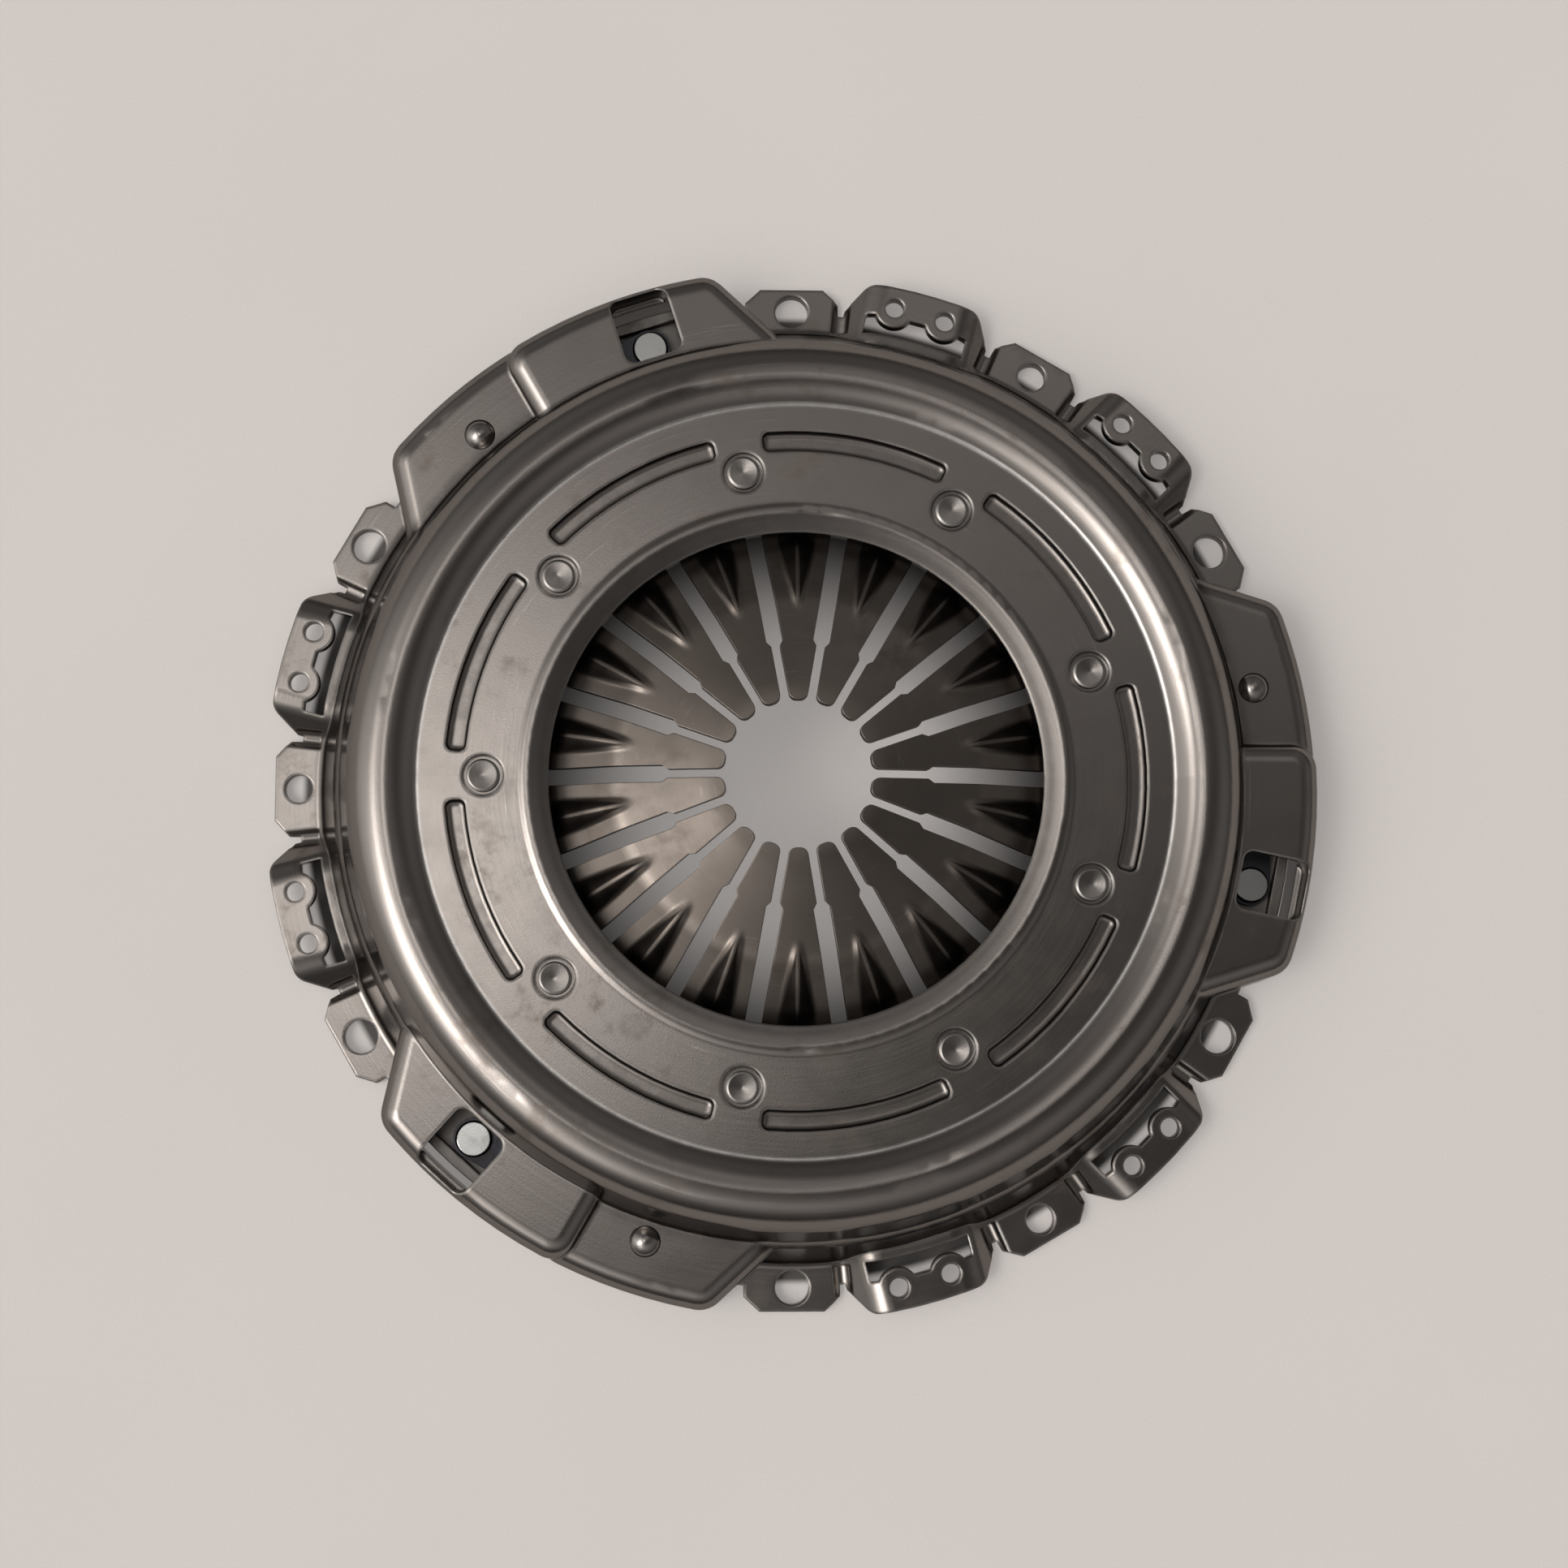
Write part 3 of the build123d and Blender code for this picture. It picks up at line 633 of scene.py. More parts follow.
def new_group(
    name: str, inputs: Sequence[tuple[str, str, object]], outputs: Sequence[tuple[str, str]]
) -> tuple[bpy.types.NodeTree, NodeGraph, bpy.types.Node, bpy.types.Node]:
    """Starts a shader node group.

    Args:
        name: The group's name.
        inputs: Name, socket type and default of each input.
        outputs: Name and socket type of each output.

    Returns:
        The group, its graph, its input node and its output node.
    """
    group = bpy.data.node_groups.new(name, "ShaderNodeTree")
    for label, kind, default in inputs:
        socket = group.interface.new_socket(name=label, in_out="INPUT", socket_type=kind)
        socket.default_value = default
    for label, kind in outputs:
        group.interface.new_socket(name=label, in_out="OUTPUT", socket_type=kind)
    graph = NodeGraph(group)
    return group, graph, graph.node("NodeGroupInput"), graph.node("NodeGroupOutput")


def ring_position_group() -> bpy.types.NodeTree:
    """Group that gives the place on the part as angle, radius and height.

    Returns:
        The node group. Its output Drawn is a place that hardly changes round the axis, so
        that a noise read there gives marks round it.
    """
    group, graph, _, out = new_group(
        "ring_position",
        (),
        (
            ("Radius", "NodeSocketFloat"),
            ("Angle", "NodeSocketFloat"),
            ("Height", "NodeSocketFloat"),
            ("Drawn", "NodeSocketVector"),
        ),
    )
    place = graph.node("ShaderNodeTexCoord").outputs["Object"]
    apart = graph.node("ShaderNodeSeparateXYZ")
    graph.feed(apart.inputs[0], place)
    x, y, z = apart.outputs
    squares = [graph.math("POWER", side, 2.0) for side in (x, y)]
    radius = graph.math("SQRT", graph.math("ADD", *squares))
    angle = graph.math("ARCTAN2", y, x)
    joined = graph.node("ShaderNodeCombineXYZ")
    graph.feed(joined.inputs[0], graph.math("MULTIPLY", angle, DRAWN_PITCH))
    graph.feed(joined.inputs[1], radius)
    graph.feed(joined.inputs[2], z)
    graph.feed(out.inputs["Radius"], radius)
    graph.feed(out.inputs["Angle"], angle)
    graph.feed(out.inputs["Height"], z)
    graph.feed(out.inputs["Drawn"], joined.outputs[0])
    return group


SURFACE_INPUTS = (
    ("Colour", "NodeSocketColor", (0.5, 0.5, 0.5, 1.0)),
    ("Stain", "NodeSocketColor", (0.2, 0.2, 0.2, 1.0)),
    ("Bright", "NodeSocketColor", (0.8, 0.8, 0.8, 1.0)),
    ("Roughness", "NodeSocketFloat", 0.3),
    ("Roughness Range", "NodeSocketFloat", 0.1),
    ("Mottle Scale", "NodeSocketFloat", 50.0),
    ("Scratch Depth", "NodeSocketFloat", 0.2),
    ("Grain Scale", "NodeSocketFloat", 2000.0),
    ("Grain Depth", "NodeSocketFloat", 0.1),
    ("Edge Radius", "NodeSocketFloat", 0.0005),
)


def edge_mask(
    graph: NodeGraph, edge_radius: bpy.types.NodeSocket
) -> tuple[bpy.types.NodeSocket, bpy.types.NodeSocket]:
    """Rounds the normal at edges and finds where it does so.

    Args:
        graph: The group's graph.
        edge_radius: How far an edge reaches.

    Returns:
        The rounded normal and the edges' mask.
    """
    bevel = graph.node("ShaderNodeBevel", samples=MARKS.edge_samples)
    graph.feed(bevel.inputs["Radius"], edge_radius)
    turn = graph.node("ShaderNodeVectorMath", operation="DOT_PRODUCT")
    graph.feed(turn.inputs[0], bevel.outputs[0])
    graph.feed(turn.inputs[1], graph.node("ShaderNodeNewGeometry").outputs["Normal"])
    return bevel.outputs[0], graph.ramp(turn.outputs["Value"], *MARKS.edge_range)


def metal_surface_group(ring: bpy.types.NodeTree) -> bpy.types.NodeTree:
    """Group with the marks that all the metals share.

    Args:
        ring: The ring position group.

    Returns:
        The node group. It gives a colour, a roughness and a normal.
    """
    group, graph, given, out = new_group(
        "metal_surface",
        SURFACE_INPUTS,
        (
            ("Colour", "NodeSocketColor"),
            ("Roughness", "NodeSocketFloat"),
            ("Normal", "NodeSocketVector"),
        ),
    )
    place = graph.node("ShaderNodeTexCoord").outputs["Object"]
    around = graph.call(ring, {})
    mottle_scale = given.outputs["Mottle Scale"]
    mottle = graph.noise(place, mottle_scale, MARKS.mottle_detail, MARKS.mottle_roughness)
    patch_scale = graph.math("MULTIPLY", mottle_scale, MARKS.patch_scale)
    patches = graph.noise(place, patch_scale, MARKS.patch_detail)
    stained = graph.math(
        "MULTIPLY",
        graph.ramp(mottle, *MARKS.stain_range),
        graph.ramp(patches, *MARKS.patch_range),
    )
    drawn = graph.noise(
        around.outputs["Drawn"], MARKS.drawn_scale, MARKS.drawn_detail, MARKS.drawn_roughness
    )
    grain = graph.noise(
        place, given.outputs["Grain Scale"], MARKS.grain_detail, MARKS.grain_roughness
    )

    normal, edge = edge_mask(graph, given.outputs["Edge Radius"])
    worn = graph.math("MULTIPLY", edge, graph.ramp(mottle, *MARKS.worn_range))

    bright = given.outputs["Bright"]
    colour = graph.mix(stained, given.outputs["Colour"], given.outputs["Stain"])
    drawn_mask = graph.math(
        "MULTIPLY", graph.ramp(drawn, *MARKS.drawn_range), MARKS.drawn_share
    )
    colour = graph.mix(drawn_mask, colour, bright)
    colour = graph.mix(graph.math("MULTIPLY", worn, MARKS.worn_share), colour, bright)

    spread = graph.math("SUBTRACT", mottle, 0.5)
    twice = graph.math("MULTIPLY", given.outputs["Roughness Range"], 2.0)
    rough = graph.math("MULTIPLY_ADD", spread, twice, given.outputs["Roughness"])
    dulled = graph.math("MULTIPLY", stained, MARKS.stain_roughness)
    rough = graph.math("ADD", rough, dulled, clamp=True)

    for depth, distance, height in (
        ("Scratch Depth", MARKS.drawn_height, drawn),
        ("Grain Depth", MARKS.grain_height, grain),
    ):
        bump = graph.node("ShaderNodeBump")
        graph.feed(bump.inputs["Strength"], given.outputs[depth])
        graph.feed(bump.inputs["Distance"], distance)
        graph.feed(bump.inputs["Height"], height)
        graph.feed(bump.inputs["Normal"], normal)
        normal = bump.outputs[0]
    graph.feed(out.inputs["Colour"], colour)
    graph.feed(out.inputs["Roughness"], rough)
    graph.feed(out.inputs["Normal"], normal)
    return group


def ring_band_group(ring: bpy.types.NodeTree) -> bpy.types.NodeTree:
    """Group that marks a ring on the part.

    Args:
        ring: The ring position group.

    Returns:
        The node group. It adds one ring's mask to the mask it is given.
    """
    group, graph, given, out = new_group(
        "ring_band",
        (
            ("Radius", "NodeSocketFloat", 0.1),
            ("Height", "NodeSocketFloat", 0.0),
            ("Radius Reach", "NodeSocketFloat", 0.001),
            ("Height Reach", "NodeSocketFloat", 0.001),
            ("Share", "NodeSocketFloat", 0.5),
            ("Broken", "NodeSocketFloat", 0.5),
            ("Mask", "NodeSocketFloat", 0.0),
        ),
        (("Mask", "NodeSocketFloat"),),
    )
    around = graph.call(ring, {})
    place = graph.node("ShaderNodeTexCoord").outputs["Object"]
    fades = []
    for label in ("Radius", "Height"):
        apart = graph.math("SUBTRACT", around.outputs[label], given.outputs[label])
        share = graph.math("DIVIDE", apart, given.outputs[f"{label} Reach"])
        fades.append(graph.math("MULTIPLY", share, share))
    nearness = graph.math("EXPONENT", graph.math("MULTIPLY", graph.math("ADD", *fades), -1.0))
    breaks = graph.noise(
        place, MARKS.ring_break_scale, MARKS.ring_break_detail, MARKS.ring_break_roughness
    )
    patchy = graph.ramp(breaks, *MARKS.ring_break_range)
    gaps = graph.math("MULTIPLY", graph.math("SUBTRACT", 1.0, patchy), given.outputs["Broken"])
    solid = graph.math("SUBTRACT", 1.0, gaps)
    one = graph.math("MULTIPLY", graph.math("MULTIPLY", nearness, given.outputs["Share"]), solid)
    graph.feed(out.inputs["Mask"], graph.math("ADD", one, given.outputs["Mask"], clamp=True))
    return group


def rib_shade_group(
    ring: bpy.types.NodeTree, shape: SpringShape, look: RibShade
) -> bpy.types.NodeTree:
    """Group that paints shade on the flanks of the ribs on the spring's fingers.

    Args:
        ring: The ring position group.
        shape: The spring's sizes.
        look: Where the flanks are dark.

    Returns:
        The node group. Its mask of painted shade is 1 on the flanks and low on the crest.
    """
    group, graph, given, out = new_group(
        "rib_shade",
        (
            ("Share", "NodeSocketFloat", 0.5),
            ("Mask", "NodeSocketFloat", 0.0),
        ),
        (("Mask", "NodeSocketFloat"),),
    )
    around = graph.call(ring, {})
    radius = around.outputs["Radius"]
    pitch = 2 * math.pi / shape.fingers
    start, end = shape.rib_start * MM, shape.rib_end * MM
    turn = graph.math("FRACT", graph.math("DIVIDE", around.outputs["Angle"], pitch))
    aside = graph.math("ABSOLUTE", graph.math("SUBTRACT", turn, 0.5))
    across = graph.math("MULTIPLY", graph.math("MULTIPLY", aside, pitch), radius)
    half_width = graph.ramp(
        radius, start, end - look.root_inset, look.tip_half_width, shape.rib_half_width * MM
    )
    flank = graph.ramp(graph.math("DIVIDE", across, half_width), *look.flank)
    along = graph.ramp(radius, start, start + look.fade)
    crest = graph.ramp(across, *look.crest)
    dark = graph.math("MULTIPLY_ADD", crest, -look.crest_share, 1.0)
    mask = graph.math("MULTIPLY", graph.math("MULTIPLY", flank, along), dark)
    mask = graph.math(
        "MULTIPLY_ADD", mask, given.outputs["Share"], given.outputs["Mask"], clamp=True
    )
    graph.feed(out.inputs["Mask"], mask)
    return group


class MaterialShop:
    """Makes and hands out the materials."""

    def __init__(self) -> None:
        self.ring = ring_position_group()
        self.surface = metal_surface_group(self.ring)
        self.band = ring_band_group(self.ring)
        self.rib_shade = rib_shade_group(self.ring, SpringShape(), RibShade())
        self.metals = {finish.slot: self.metal(finish) for finish in FINISHES}

    def ring_mask(self, graph: NodeGraph, bands: Sequence[Band]) -> bpy.types.NodeSocket | float:
        """Adds up the masks of rings on a part.

        Args:
            graph: The material's graph.
            bands: The rings.

        Returns:
            The socket of the mask, or 0 with no rings.
        """
        mask: bpy.types.NodeSocket | float = 0.0
        for band in bands:
            values = {
                "Radius": band.radius,
                "Height": band.height,
                "Radius Reach": band.radius_reach,
                "Height Reach": band.height_reach,
                "Share": band.share,
                "Broken": band.broken,
                "Mask": mask,
            }
            mask = graph.call(self.band, values).outputs["Mask"]
        return mask

    def metal(self, finish: MetalFinish) -> bpy.types.Material:
        """Makes the material of one finish.

        Args:
            finish: The finish.

        Returns:
            The material.
        """
        material = bpy.data.materials.new(finish.slot.value)
        material.use_nodes = True
        graph = NodeGraph(material.node_tree)
        shader = material.node_tree.nodes["Principled BSDF"]
        values = {
            "Colour": finish.colour,
            "Stain": finish.stain,
            "Bright": finish.bright,
            "Roughness": finish.roughness,
            "Roughness Range": finish.roughness_range,
            "Mottle Scale": finish.mottle_scale,
            "Scratch Depth": finish.scratch_depth,
            "Grain Scale": finish.grain_scale,
            "Grain Depth": finish.grain_depth,
            "Edge Radius": finish.edge_radius,
        }
        marks = graph.call(self.surface, values)
        # Rings of painted highlight and of painted shade; the painted shade also covers the
        # ribs' flanks.
        painted_highlight_mask = self.ring_mask(graph, finish.painted_highlight)
        painted_shade_mask = self.ring_mask(graph, finish.painted_shade)
        if finish.rib_shade:
            ribs = {"Share": finish.rib_shade, "Mask": painted_shade_mask}
            painted_shade_mask = graph.call(self.rib_shade, ribs).outputs["Mask"]
        # Paint the highlight in, then the shade.
        colour = graph.mix(painted_highlight_mask, marks.outputs["Colour"], finish.bright)
        colour = graph.mix(painted_shade_mask, colour, finish.painted_shade_colour)
        rough = graph.math(
            "MULTIPLY_ADD", painted_shade_mask, MARKS.painted_shade_roughness, marks.outputs["Roughness"], clamp=True
        )
        graph.feed(shader.inputs["Base Color"], colour)
        graph.feed(shader.inputs["Roughness"], rough)
        graph.feed(shader.inputs["Normal"], marks.outputs["Normal"])
        graph.feed(shader.inputs["Metallic"], finish.metallic)
        graph.feed(shader.inputs["Specular Tint"], (finish.grazing,) * 3)
        return material


def rounded_profile(points: Line, bend: float) -> list[tuple[float, float]]:
    """Samples a line of points with round corners.

    Args:
        points: Radius and height of each corner.
        bend: Radius of the corners.

    Returns:
        Points along the rounded line.
    """
    samples = [points[0]]
    for before, corner, after in zip(points, points[1:], points[2:]):
        a = (Vector(before) - Vector(corner)).normalized()
        b = (Vector(after) - Vector(corner)).normalized()
        half = a.angle(b) / 2
        reach = bend / math.tan(half)
        for step in range(BEND_STEPS + 1):
            t = step / BEND_STEPS
            start = Vector(corner) + a * reach * (1 - t)
            end = Vector(corner) + b * reach * t
            samples.append(tuple(start.lerp(end, t)))
    samples.append(points[-1])
    return samples


def height_on(samples: Line, radius: float) -> float:
    """Height of a sampled line at a radius.

    Args:
        samples: Points in order of radius.
        radius: Where to read it.

    Returns:
        The height.
    """
    for (r0, z0), (r1, z1) in zip(samples, samples[1:]):
        if r0 <= radius <= r1 and r1 > r0:
            return z0 + (z1 - z0) * (radius - r0) / (r1 - r0)
    return samples[0][1] if radius < samples[0][0] else samples[-1][1]


def smooth(share: float) -> float:
    """Eases a share from 0 to 1.

    Args:
        share: Any number; it is clamped to 0..1.

    Returns:
        The eased share.
    """
    share = min(1.0, max(0.0, share))
    return share * share * (3 - 2 * share)


class DiaphragmSpring:
    """The slotted disc spring as a thin sheet."""

    def __init__(self, shape: SpringShape) -> None:
        self.shape = shape
        self.line = rounded_profile(shape.profile, shape.bend)

    def half_gap(self, radius: float) -> float:
        """Half the width of a slot at a radius.

        Args:
            radius: Radius in millimetres.

        Returns:
            Half width in millimetres, 0 where the slots have ended.
        """
        s = self.shape
        if radius >= s.eye_centre + s.eye_radius:
            return 0.0
        share = min(1.0, max(0.0, (radius - s.step_radius + s.step_length) / s.step_length))
        width = s.narrow / 2 + (s.wide - s.narrow) / 2 * share
        away = abs(radius - s.eye_centre)
        eye = math.sqrt(max(0.0, s.eye_radius**2 - away**2))
        if radius > s.eye_centre:
            return eye
        return max(width, eye)

    def corner_loss(self, radius: float) -> float:
        """How much a finger's rounded tip is narrower at a radius.

        Args:
            radius: Radius in millimetres.

        Returns:
            Loss of half width in millimetres.
        """
        s = self.shape
        into = radius - s.tip_radius
        if into >= s.tip_corner:
            return 0.0
        return s.tip_corner - math.sqrt(max(0.0, s.tip_corner**2 - (s.tip_corner - into) ** 2))

    def height(self, radius: float, side: float) -> float:
        """Height of the middle of the sheet.

        Args:
            radius: Radius in millimetres.
            side: Distance from the finger's centre line in millimetres.

        Returns:
            Height in millimetres.
        """
        s = self.shape
        top = height_on(self.line, radius)
        outer, inner = radius + SLOPE_STEP, radius - SLOPE_STEP
        slope = (height_on(self.line, outer) - height_on(self.line, inner)) / (outer - inner)
        middle = top - s.thickness / 2 * math.hypot(1.0, slope)
        along = (radius - s.rib_start) / (s.rib_end - s.rib_start)
        if 0.0 < along < 1.0:
            width = s.rib_half_width * (s.rib_tip_share + s.rib_root_share * along)
            width *= math.sqrt(min(1.0, s.rib_root_round * (1 - along)))
            across = min(1.0, abs(side) / width)
            rise = smooth(along / s.rib_rise_share) * smooth((1 - along) / s.rib_fall_share)
            middle += s.rib_height * rise * (1 - across**s.rib_sharpness) ** s.rib_sharpness
        tip_end = s.tip_radius + s.tip_fall_length
        if radius < tip_end:
            middle -= s.tip_fall * ((tip_end - radius) / s.tip_fall_length) ** 2
        return middle

    def radii(self) -> list[float]:
        """Radii of the rows of vertices, from tip to rim.

        Returns:
            Radii in millimetres.
        """
        s = self.shape
        quarter = math.pi / 2
        near_tip = [
            s.tip_radius + s.tip_corner * (1 - math.cos(quarter * k / s.tip_rows))
            for k in range(s.tip_rows + 1)
        ]
        step = [s.step_radius - s.step_length, s.step_radius]
        eye = [
            s.eye_centre + s.eye_radius * math.sin(quarter * k / s.eye_rows)
            for k in range(-s.eye_rows, s.eye_rows + 1)
        ]
        start, reach = near_tip[-1], s.rim_radius - near_tip[-1]
        plain = [start + reach * k / s.rows for k in range(1, s.rows + 1)]
        kept = [
            r
            for r in plain
            if all(abs(r - fixed) > STEP_CLEARANCE for fixed in step)
            and not (eye[0] - EYE_CLEARANCE < r < eye[-1] + EYE_CLEARANCE)
        ]
        return sorted(near_tip + step + eye + kept)

    def sheet(self) -> bmesh.types.BMesh:
        """Makes the middle of the spring's sheet, finger by finger.

        Returns:
            The bmesh, with its faces up.
        """
        s = self.shape
        half_sector = math.pi / s.fingers
        mesh = bmesh.new()
        rows = self.radii()
        for finger in range(s.fingers):
            centre = (2 * finger + 1) * half_sector
            grid: list[list[bmesh.types.BMVert]] = []
            for radius in rows:
                loss = self.half_gap(radius) + self.corner_loss(radius)
                reach = half_sector - math.asin(min(1.0, loss / radius))
                row = []
                for column in range(s.columns):
                    turn = reach * (2 * column / (s.columns - 1) - 1)
                    angle = centre + turn
                    z = self.height(radius, radius * math.sin(turn))
                    place = Vector((radius * math.cos(angle), radius * math.sin(angle), z)) * MM
                    row.append(mesh.verts.new(place))
                grid.append(row)
            for low, high in zip(grid, grid[1:]):
                for i in range(s.columns - 1):
                    mesh.faces.new((low[i], high[i], high[i + 1], low[i + 1]))
        bmesh.ops.remove_doubles(mesh, verts=mesh.verts, dist=WELD)
        bmesh.ops.recalc_face_normals(mesh, faces=mesh.faces)
        if sum(face.normal.z for face in mesh.faces) < 0:
            bmesh.ops.reverse_faces(mesh, faces=mesh.faces)
        return mesh

    def build(self, material: bpy.types.Material) -> bpy.types.Object:
        """Makes the spring's object.

        Args:
            material: Its material.

        Returns:
            The object, not yet riding on a body.
        """
        s = self.shape
        spring = object_from(self.sheet(), "diaphragm_spring_sheet", material)
        solid = spring.modifiers.new("thickness", "SOLIDIFY")
        solid.thickness = s.thickness * MM
        solid.offset = 0.0
        solid.use_even_offset = True
        edge = spring.modifiers.new("edge", "BEVEL")
        edge.width = s.edge_round * MM
        edge.segments = BEVEL_SEGMENTS
        edge.limit_method = "ANGLE"
        edge.angle_limit = math.radians(BEVEL_ANGLE)
        edge.harden_normals = True
        return spring


def object_from(
    mesh: bmesh.types.BMesh, name: str, material: bpy.types.Material
) -> bpy.types.Object:
    """Turns a bmesh into a smooth-shaded object of the scene.

    Args:
        mesh: The bmesh, freed here.
        name: The object's name.
        material: Its material.

    Returns:
        The object.
    """
    data = bpy.data.meshes.new(name)
    mesh.to_mesh(data)
    mesh.free()
    data.polygons.foreach_set("use_smooth", [True] * len(data.polygons))
    data.materials.append(material)
    made = bpy.data.objects.new(name, data)
    bpy.context.scene.collection.objects.link(made)
    return made


@dataclass(frozen=True)
class StrapPack:
    """One pack of strap leaves, bent between the cover and the lifting plate.

    Lengths are in millimetres, angles in degrees. The circle goes through the rivets at both
    ends, which stand half_angle to each side of the pack's own angle.
    """

    number: int
    angle: float
    circle: float = 119.8
    half_angle: float = 12.0
    flat: float = 8.0
    height: float = 15.0
    leaves: int = 3

    def build(
        self, nodes: dict[str, bpy.types.Object], material: bpy.types.Material
    ) -> list[bpy.types.Object]:
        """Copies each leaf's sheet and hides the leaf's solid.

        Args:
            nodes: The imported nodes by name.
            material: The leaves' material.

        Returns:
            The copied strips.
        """
        strips = []
        for leaf in range(1, self.leaves + 1):
            name = f"strap_{self.number}_leaf_{leaf}"
            data = nodes[name].data.copy()
            data.name = f"{name}_strip"
            data.materials.clear()
            data.materials.append(material)
            strip = bpy.data.objects.new(f"{name}_strip", data)
            bpy.context.scene.collection.objects.link(strip)
            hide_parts(name)
            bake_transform(strip)
            strips.append(strip)
        return strips


@dataclass(frozen=True)
class Studio:
    """Floor, light and camera."""

    place: CameraPlace
    look: FloorLook

    def floor(self) -> bpy.types.Object:
        """Lays the floor.

        Returns:
            The floor object.
        """
        look = self.look
        data = bpy.data.meshes.new("floor")
        turns = [2 * math.pi * k / look.sides for k in range(look.sides)]
        corners = [
            (radius * math.cos(turn), radius * math.sin(turn), height)
            for radius, height in ((look.flat_radius, 0.0), (look.reach, look.rise))
            for turn in turns
        ]
        faces = [tuple(range(look.sides))]
        for k in range(look.sides):
            after = (k + 1) % look.sides
            faces.append((k + look.sides, after + look.sides, after, k))
        data.from_pydata(corners, [], faces)
        floor = bpy.data.objects.new("floor", data)
        bpy.context.scene.collection.objects.link(floor)
        floor.location.z = -look.drop
        data.materials.append(self.floor_board())
        return floor

    def floor_board(self) -> bpy.types.Material:
        """Makes the floor's material, with a painted shadow where the part stands over it.

        Returns:
            The material.
        """
        look = self.look
        material = bpy.data.materials.new("floor_board")
        material.use_nodes = True
        graph = NodeGraph(material.node_tree)
        shader = material.node_tree.nodes["Principled BSDF"]
        place = graph.node("ShaderNodeTexCoord").outputs["Object"]
        tone = graph.noise(place, look.tone_scale, look.tone_detail)
        fibre = graph.noise(place, look.fibre_scale, look.fibre_detail, look.fibre_roughness)
        fibre = graph.ramp(fibre, *look.fibre_range, 0.0, look.fibre_share)
        apart = graph.node("ShaderNodeVectorMath", operation="LENGTH")
        graph.feed(apart.inputs[0], place)
        radius = apart.outputs["Value"]
        # Painted shadow under the part: the floor is darker there and does not glow.
        painted_shadow_mask = graph.math(
            "MULTIPLY",
            graph.ramp(radius, *look.shade_inner),
            graph.ramp(radius, *look.shade_outer),
        )
        colour = graph.mix(tone, look.dark_tone, look.light_tone)
        colour = graph.mix(fibre, colour, look.fibre)
        shaded = graph.math("MULTIPLY", painted_shadow_mask, look.shade_share)
        colour = graph.mix(shaded, colour, look.shade)
        open_share = graph.math("SUBTRACT", 1.0, painted_shadow_mask)
        lit = graph.math("MULTIPLY", open_share, look.glow_strength)
        graph.feed(shader.inputs["Base Color"], colour)
        graph.feed(shader.inputs["Roughness"], look.roughness)
        graph.feed(shader.inputs["Emission Color"], look.glow)
        graph.feed(shader.inputs["Emission Strength"], lit)
        return material

    @staticmethod
    def room_glow() -> bpy.types.NodeTree:
        """Group that adds one soft bright patch to the room's light.

        Returns:
            The node group.
        """
        group, graph, given, out = new_group(
            "room_glow",
            (
                ("Towards", "NodeSocketVector", (0.0, 0.0, 1.0)),
                ("Sharpness", "NodeSocketFloat", 20.0),
                ("Strength", "NodeSocketFloat", 1.0),
                ("Sum", "NodeSocketFloat", 0.0),
            ),
            (("Sum", "NodeSocketFloat"),),
        )
        nearness = graph.node("ShaderNodeVectorMath", operation="DOT_PRODUCT")
        graph.feed(nearness.inputs[0], graph.node("ShaderNodeTexCoord").outputs["Generated"])
        graph.feed(nearness.inputs[1], given.outputs["Towards"])
        away = graph.math("SUBTRACT", nearness.outputs["Value"], 1.0)
        fall = graph.math("MULTIPLY", away, given.outputs["Sharpness"])
        level = graph.math("EXPONENT", fall)
        strength, so_far = given.outputs["Strength"], given.outputs["Sum"]
        graph.feed(out.inputs["Sum"], graph.math("MULTIPLY_ADD", level, strength, so_far))
        return group

    def sky(self) -> None:
        """Makes a room of soft bright patches, mostly overhead and to the left."""
        glow = self.room_glow()
        world = bpy.data.worlds.new("room")
        bpy.context.scene.world = world
        world.use_nodes = True
        graph = NodeGraph(world.node_tree)
        total: bpy.types.NodeSocket | float = 0.0
        for patch in ROOM:
            values = {
                "Towards": patch.direction(),
                "Sharpness": patch.sharpness,
                "Strength": patch.strength,
                "Sum": total,
            }
            total = graph.call(glow, values).outputs["Sum"]
        background = world.node_tree.nodes["Background"]
        graph.feed(background.inputs["Color"], ROOM_COLOUR)
        graph.feed(background.inputs["Strength"], total)

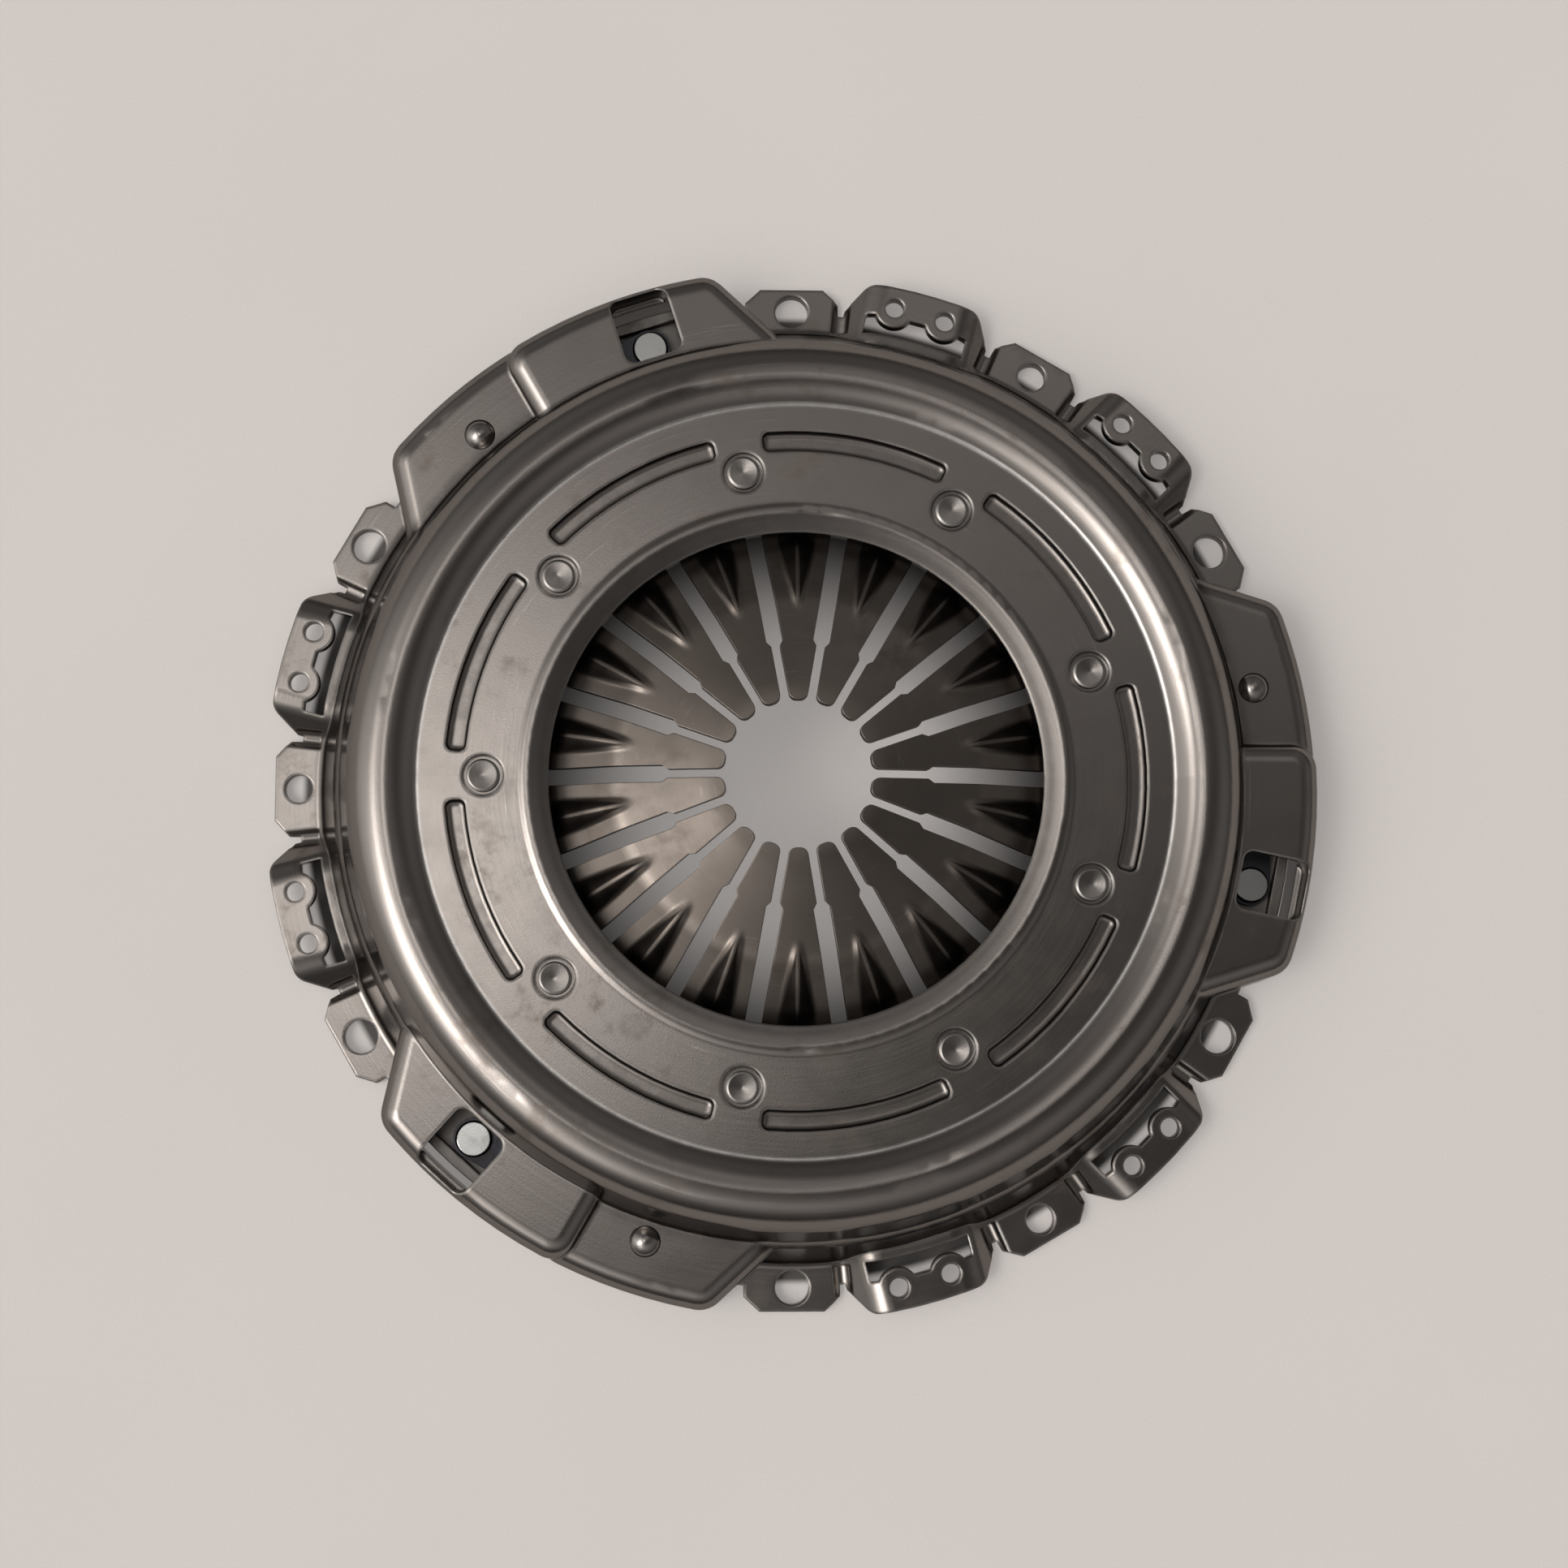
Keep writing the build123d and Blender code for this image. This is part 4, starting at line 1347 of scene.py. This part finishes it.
    def camera(self) -> bpy.types.Object:
        """Places the camera.

        Returns:
            The camera object.
        """
        data = bpy.data.cameras.new("camera")
        data.sensor_fit = "HORIZONTAL"
        data.angle = math.radians(self.place.angle)
        data.clip_start = self.place.near
        camera = bpy.data.objects.new("camera", data)
        lean = Matrix.Rotation(math.radians(self.place.lean), 4, "Y")
        tilt = Matrix.Rotation(math.radians(self.place.tilt), 4, "X")
        camera.matrix_world = Matrix.Translation(self.place.place) @ lean @ tilt
        bpy.context.scene.collection.objects.link(camera)
        bpy.context.scene.camera = camera
        return camera

    def build(self) -> list[bpy.types.Object]:
        """Builds the whole studio.

        Returns:
            The floor and the camera.
        """
        floor = self.floor()
        floor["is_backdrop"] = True
        self.sky()
        camera = self.camera()
        scene = bpy.context.scene
        scene.view_settings.view_transform = "Standard"
        scene.view_settings.look = "None"
        scene.render.engine = "CYCLES"
        return [floor, camera]


class ClutchScene:
    """Puts the dressed assembly together."""

    def __init__(self) -> None:
        self.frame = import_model()
        self.solids_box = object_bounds()
        self.shop = MaterialShop()

    def dress_nodes(self) -> list[bpy.types.Object]:
        """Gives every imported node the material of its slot.

        Returns:
            The nodes.
        """
        nodes = self.frame["nodes"]
        subparts = self.frame["record"]["subparts"]
        slots = {entry["node"]: entry["material_slot"] for entry in subparts}
        for name, node in nodes.items():
            material = self.shop.metals[Slot(slots[name])]
            node.data.materials.clear()
            node.data.materials.append(material)
        return list(nodes.values())

    def springs(self) -> list[bpy.types.Object]:
        """Adds the spring's sheet in place of its solid, and copies of the strap leaves.

        Returns:
            The diaphragm spring's sheet and the straps' strips.
        """
        spring = DiaphragmSpring(SpringShape()).build(self.shop.metals[Slot.SPRING])
        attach(spring, "cover_assembly")
        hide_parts("diaphragm_spring")
        bent = [spring]
        for number, angle in enumerate(PACK_ANGLES, 1):
            pack = StrapPack(number, angle)
            bent += pack.build(self.frame["nodes"], self.shop.metals[Slot.BLUED])
        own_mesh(spring)
        return bent


def main() -> None:
    """Builds the scene and reports each piece."""
    logging.basicConfig(level=logging.INFO)
    clutch = ClutchScene()
    studio = Studio(CameraPlace(), FloorLook())
    for build in (clutch.dress_nodes, clutch.springs, studio.build):
        for piece in build():
            LOG.info("%s is ready", piece.name)
    bpy.context.view_layer.update()


if __name__ == "__main__":
    main()
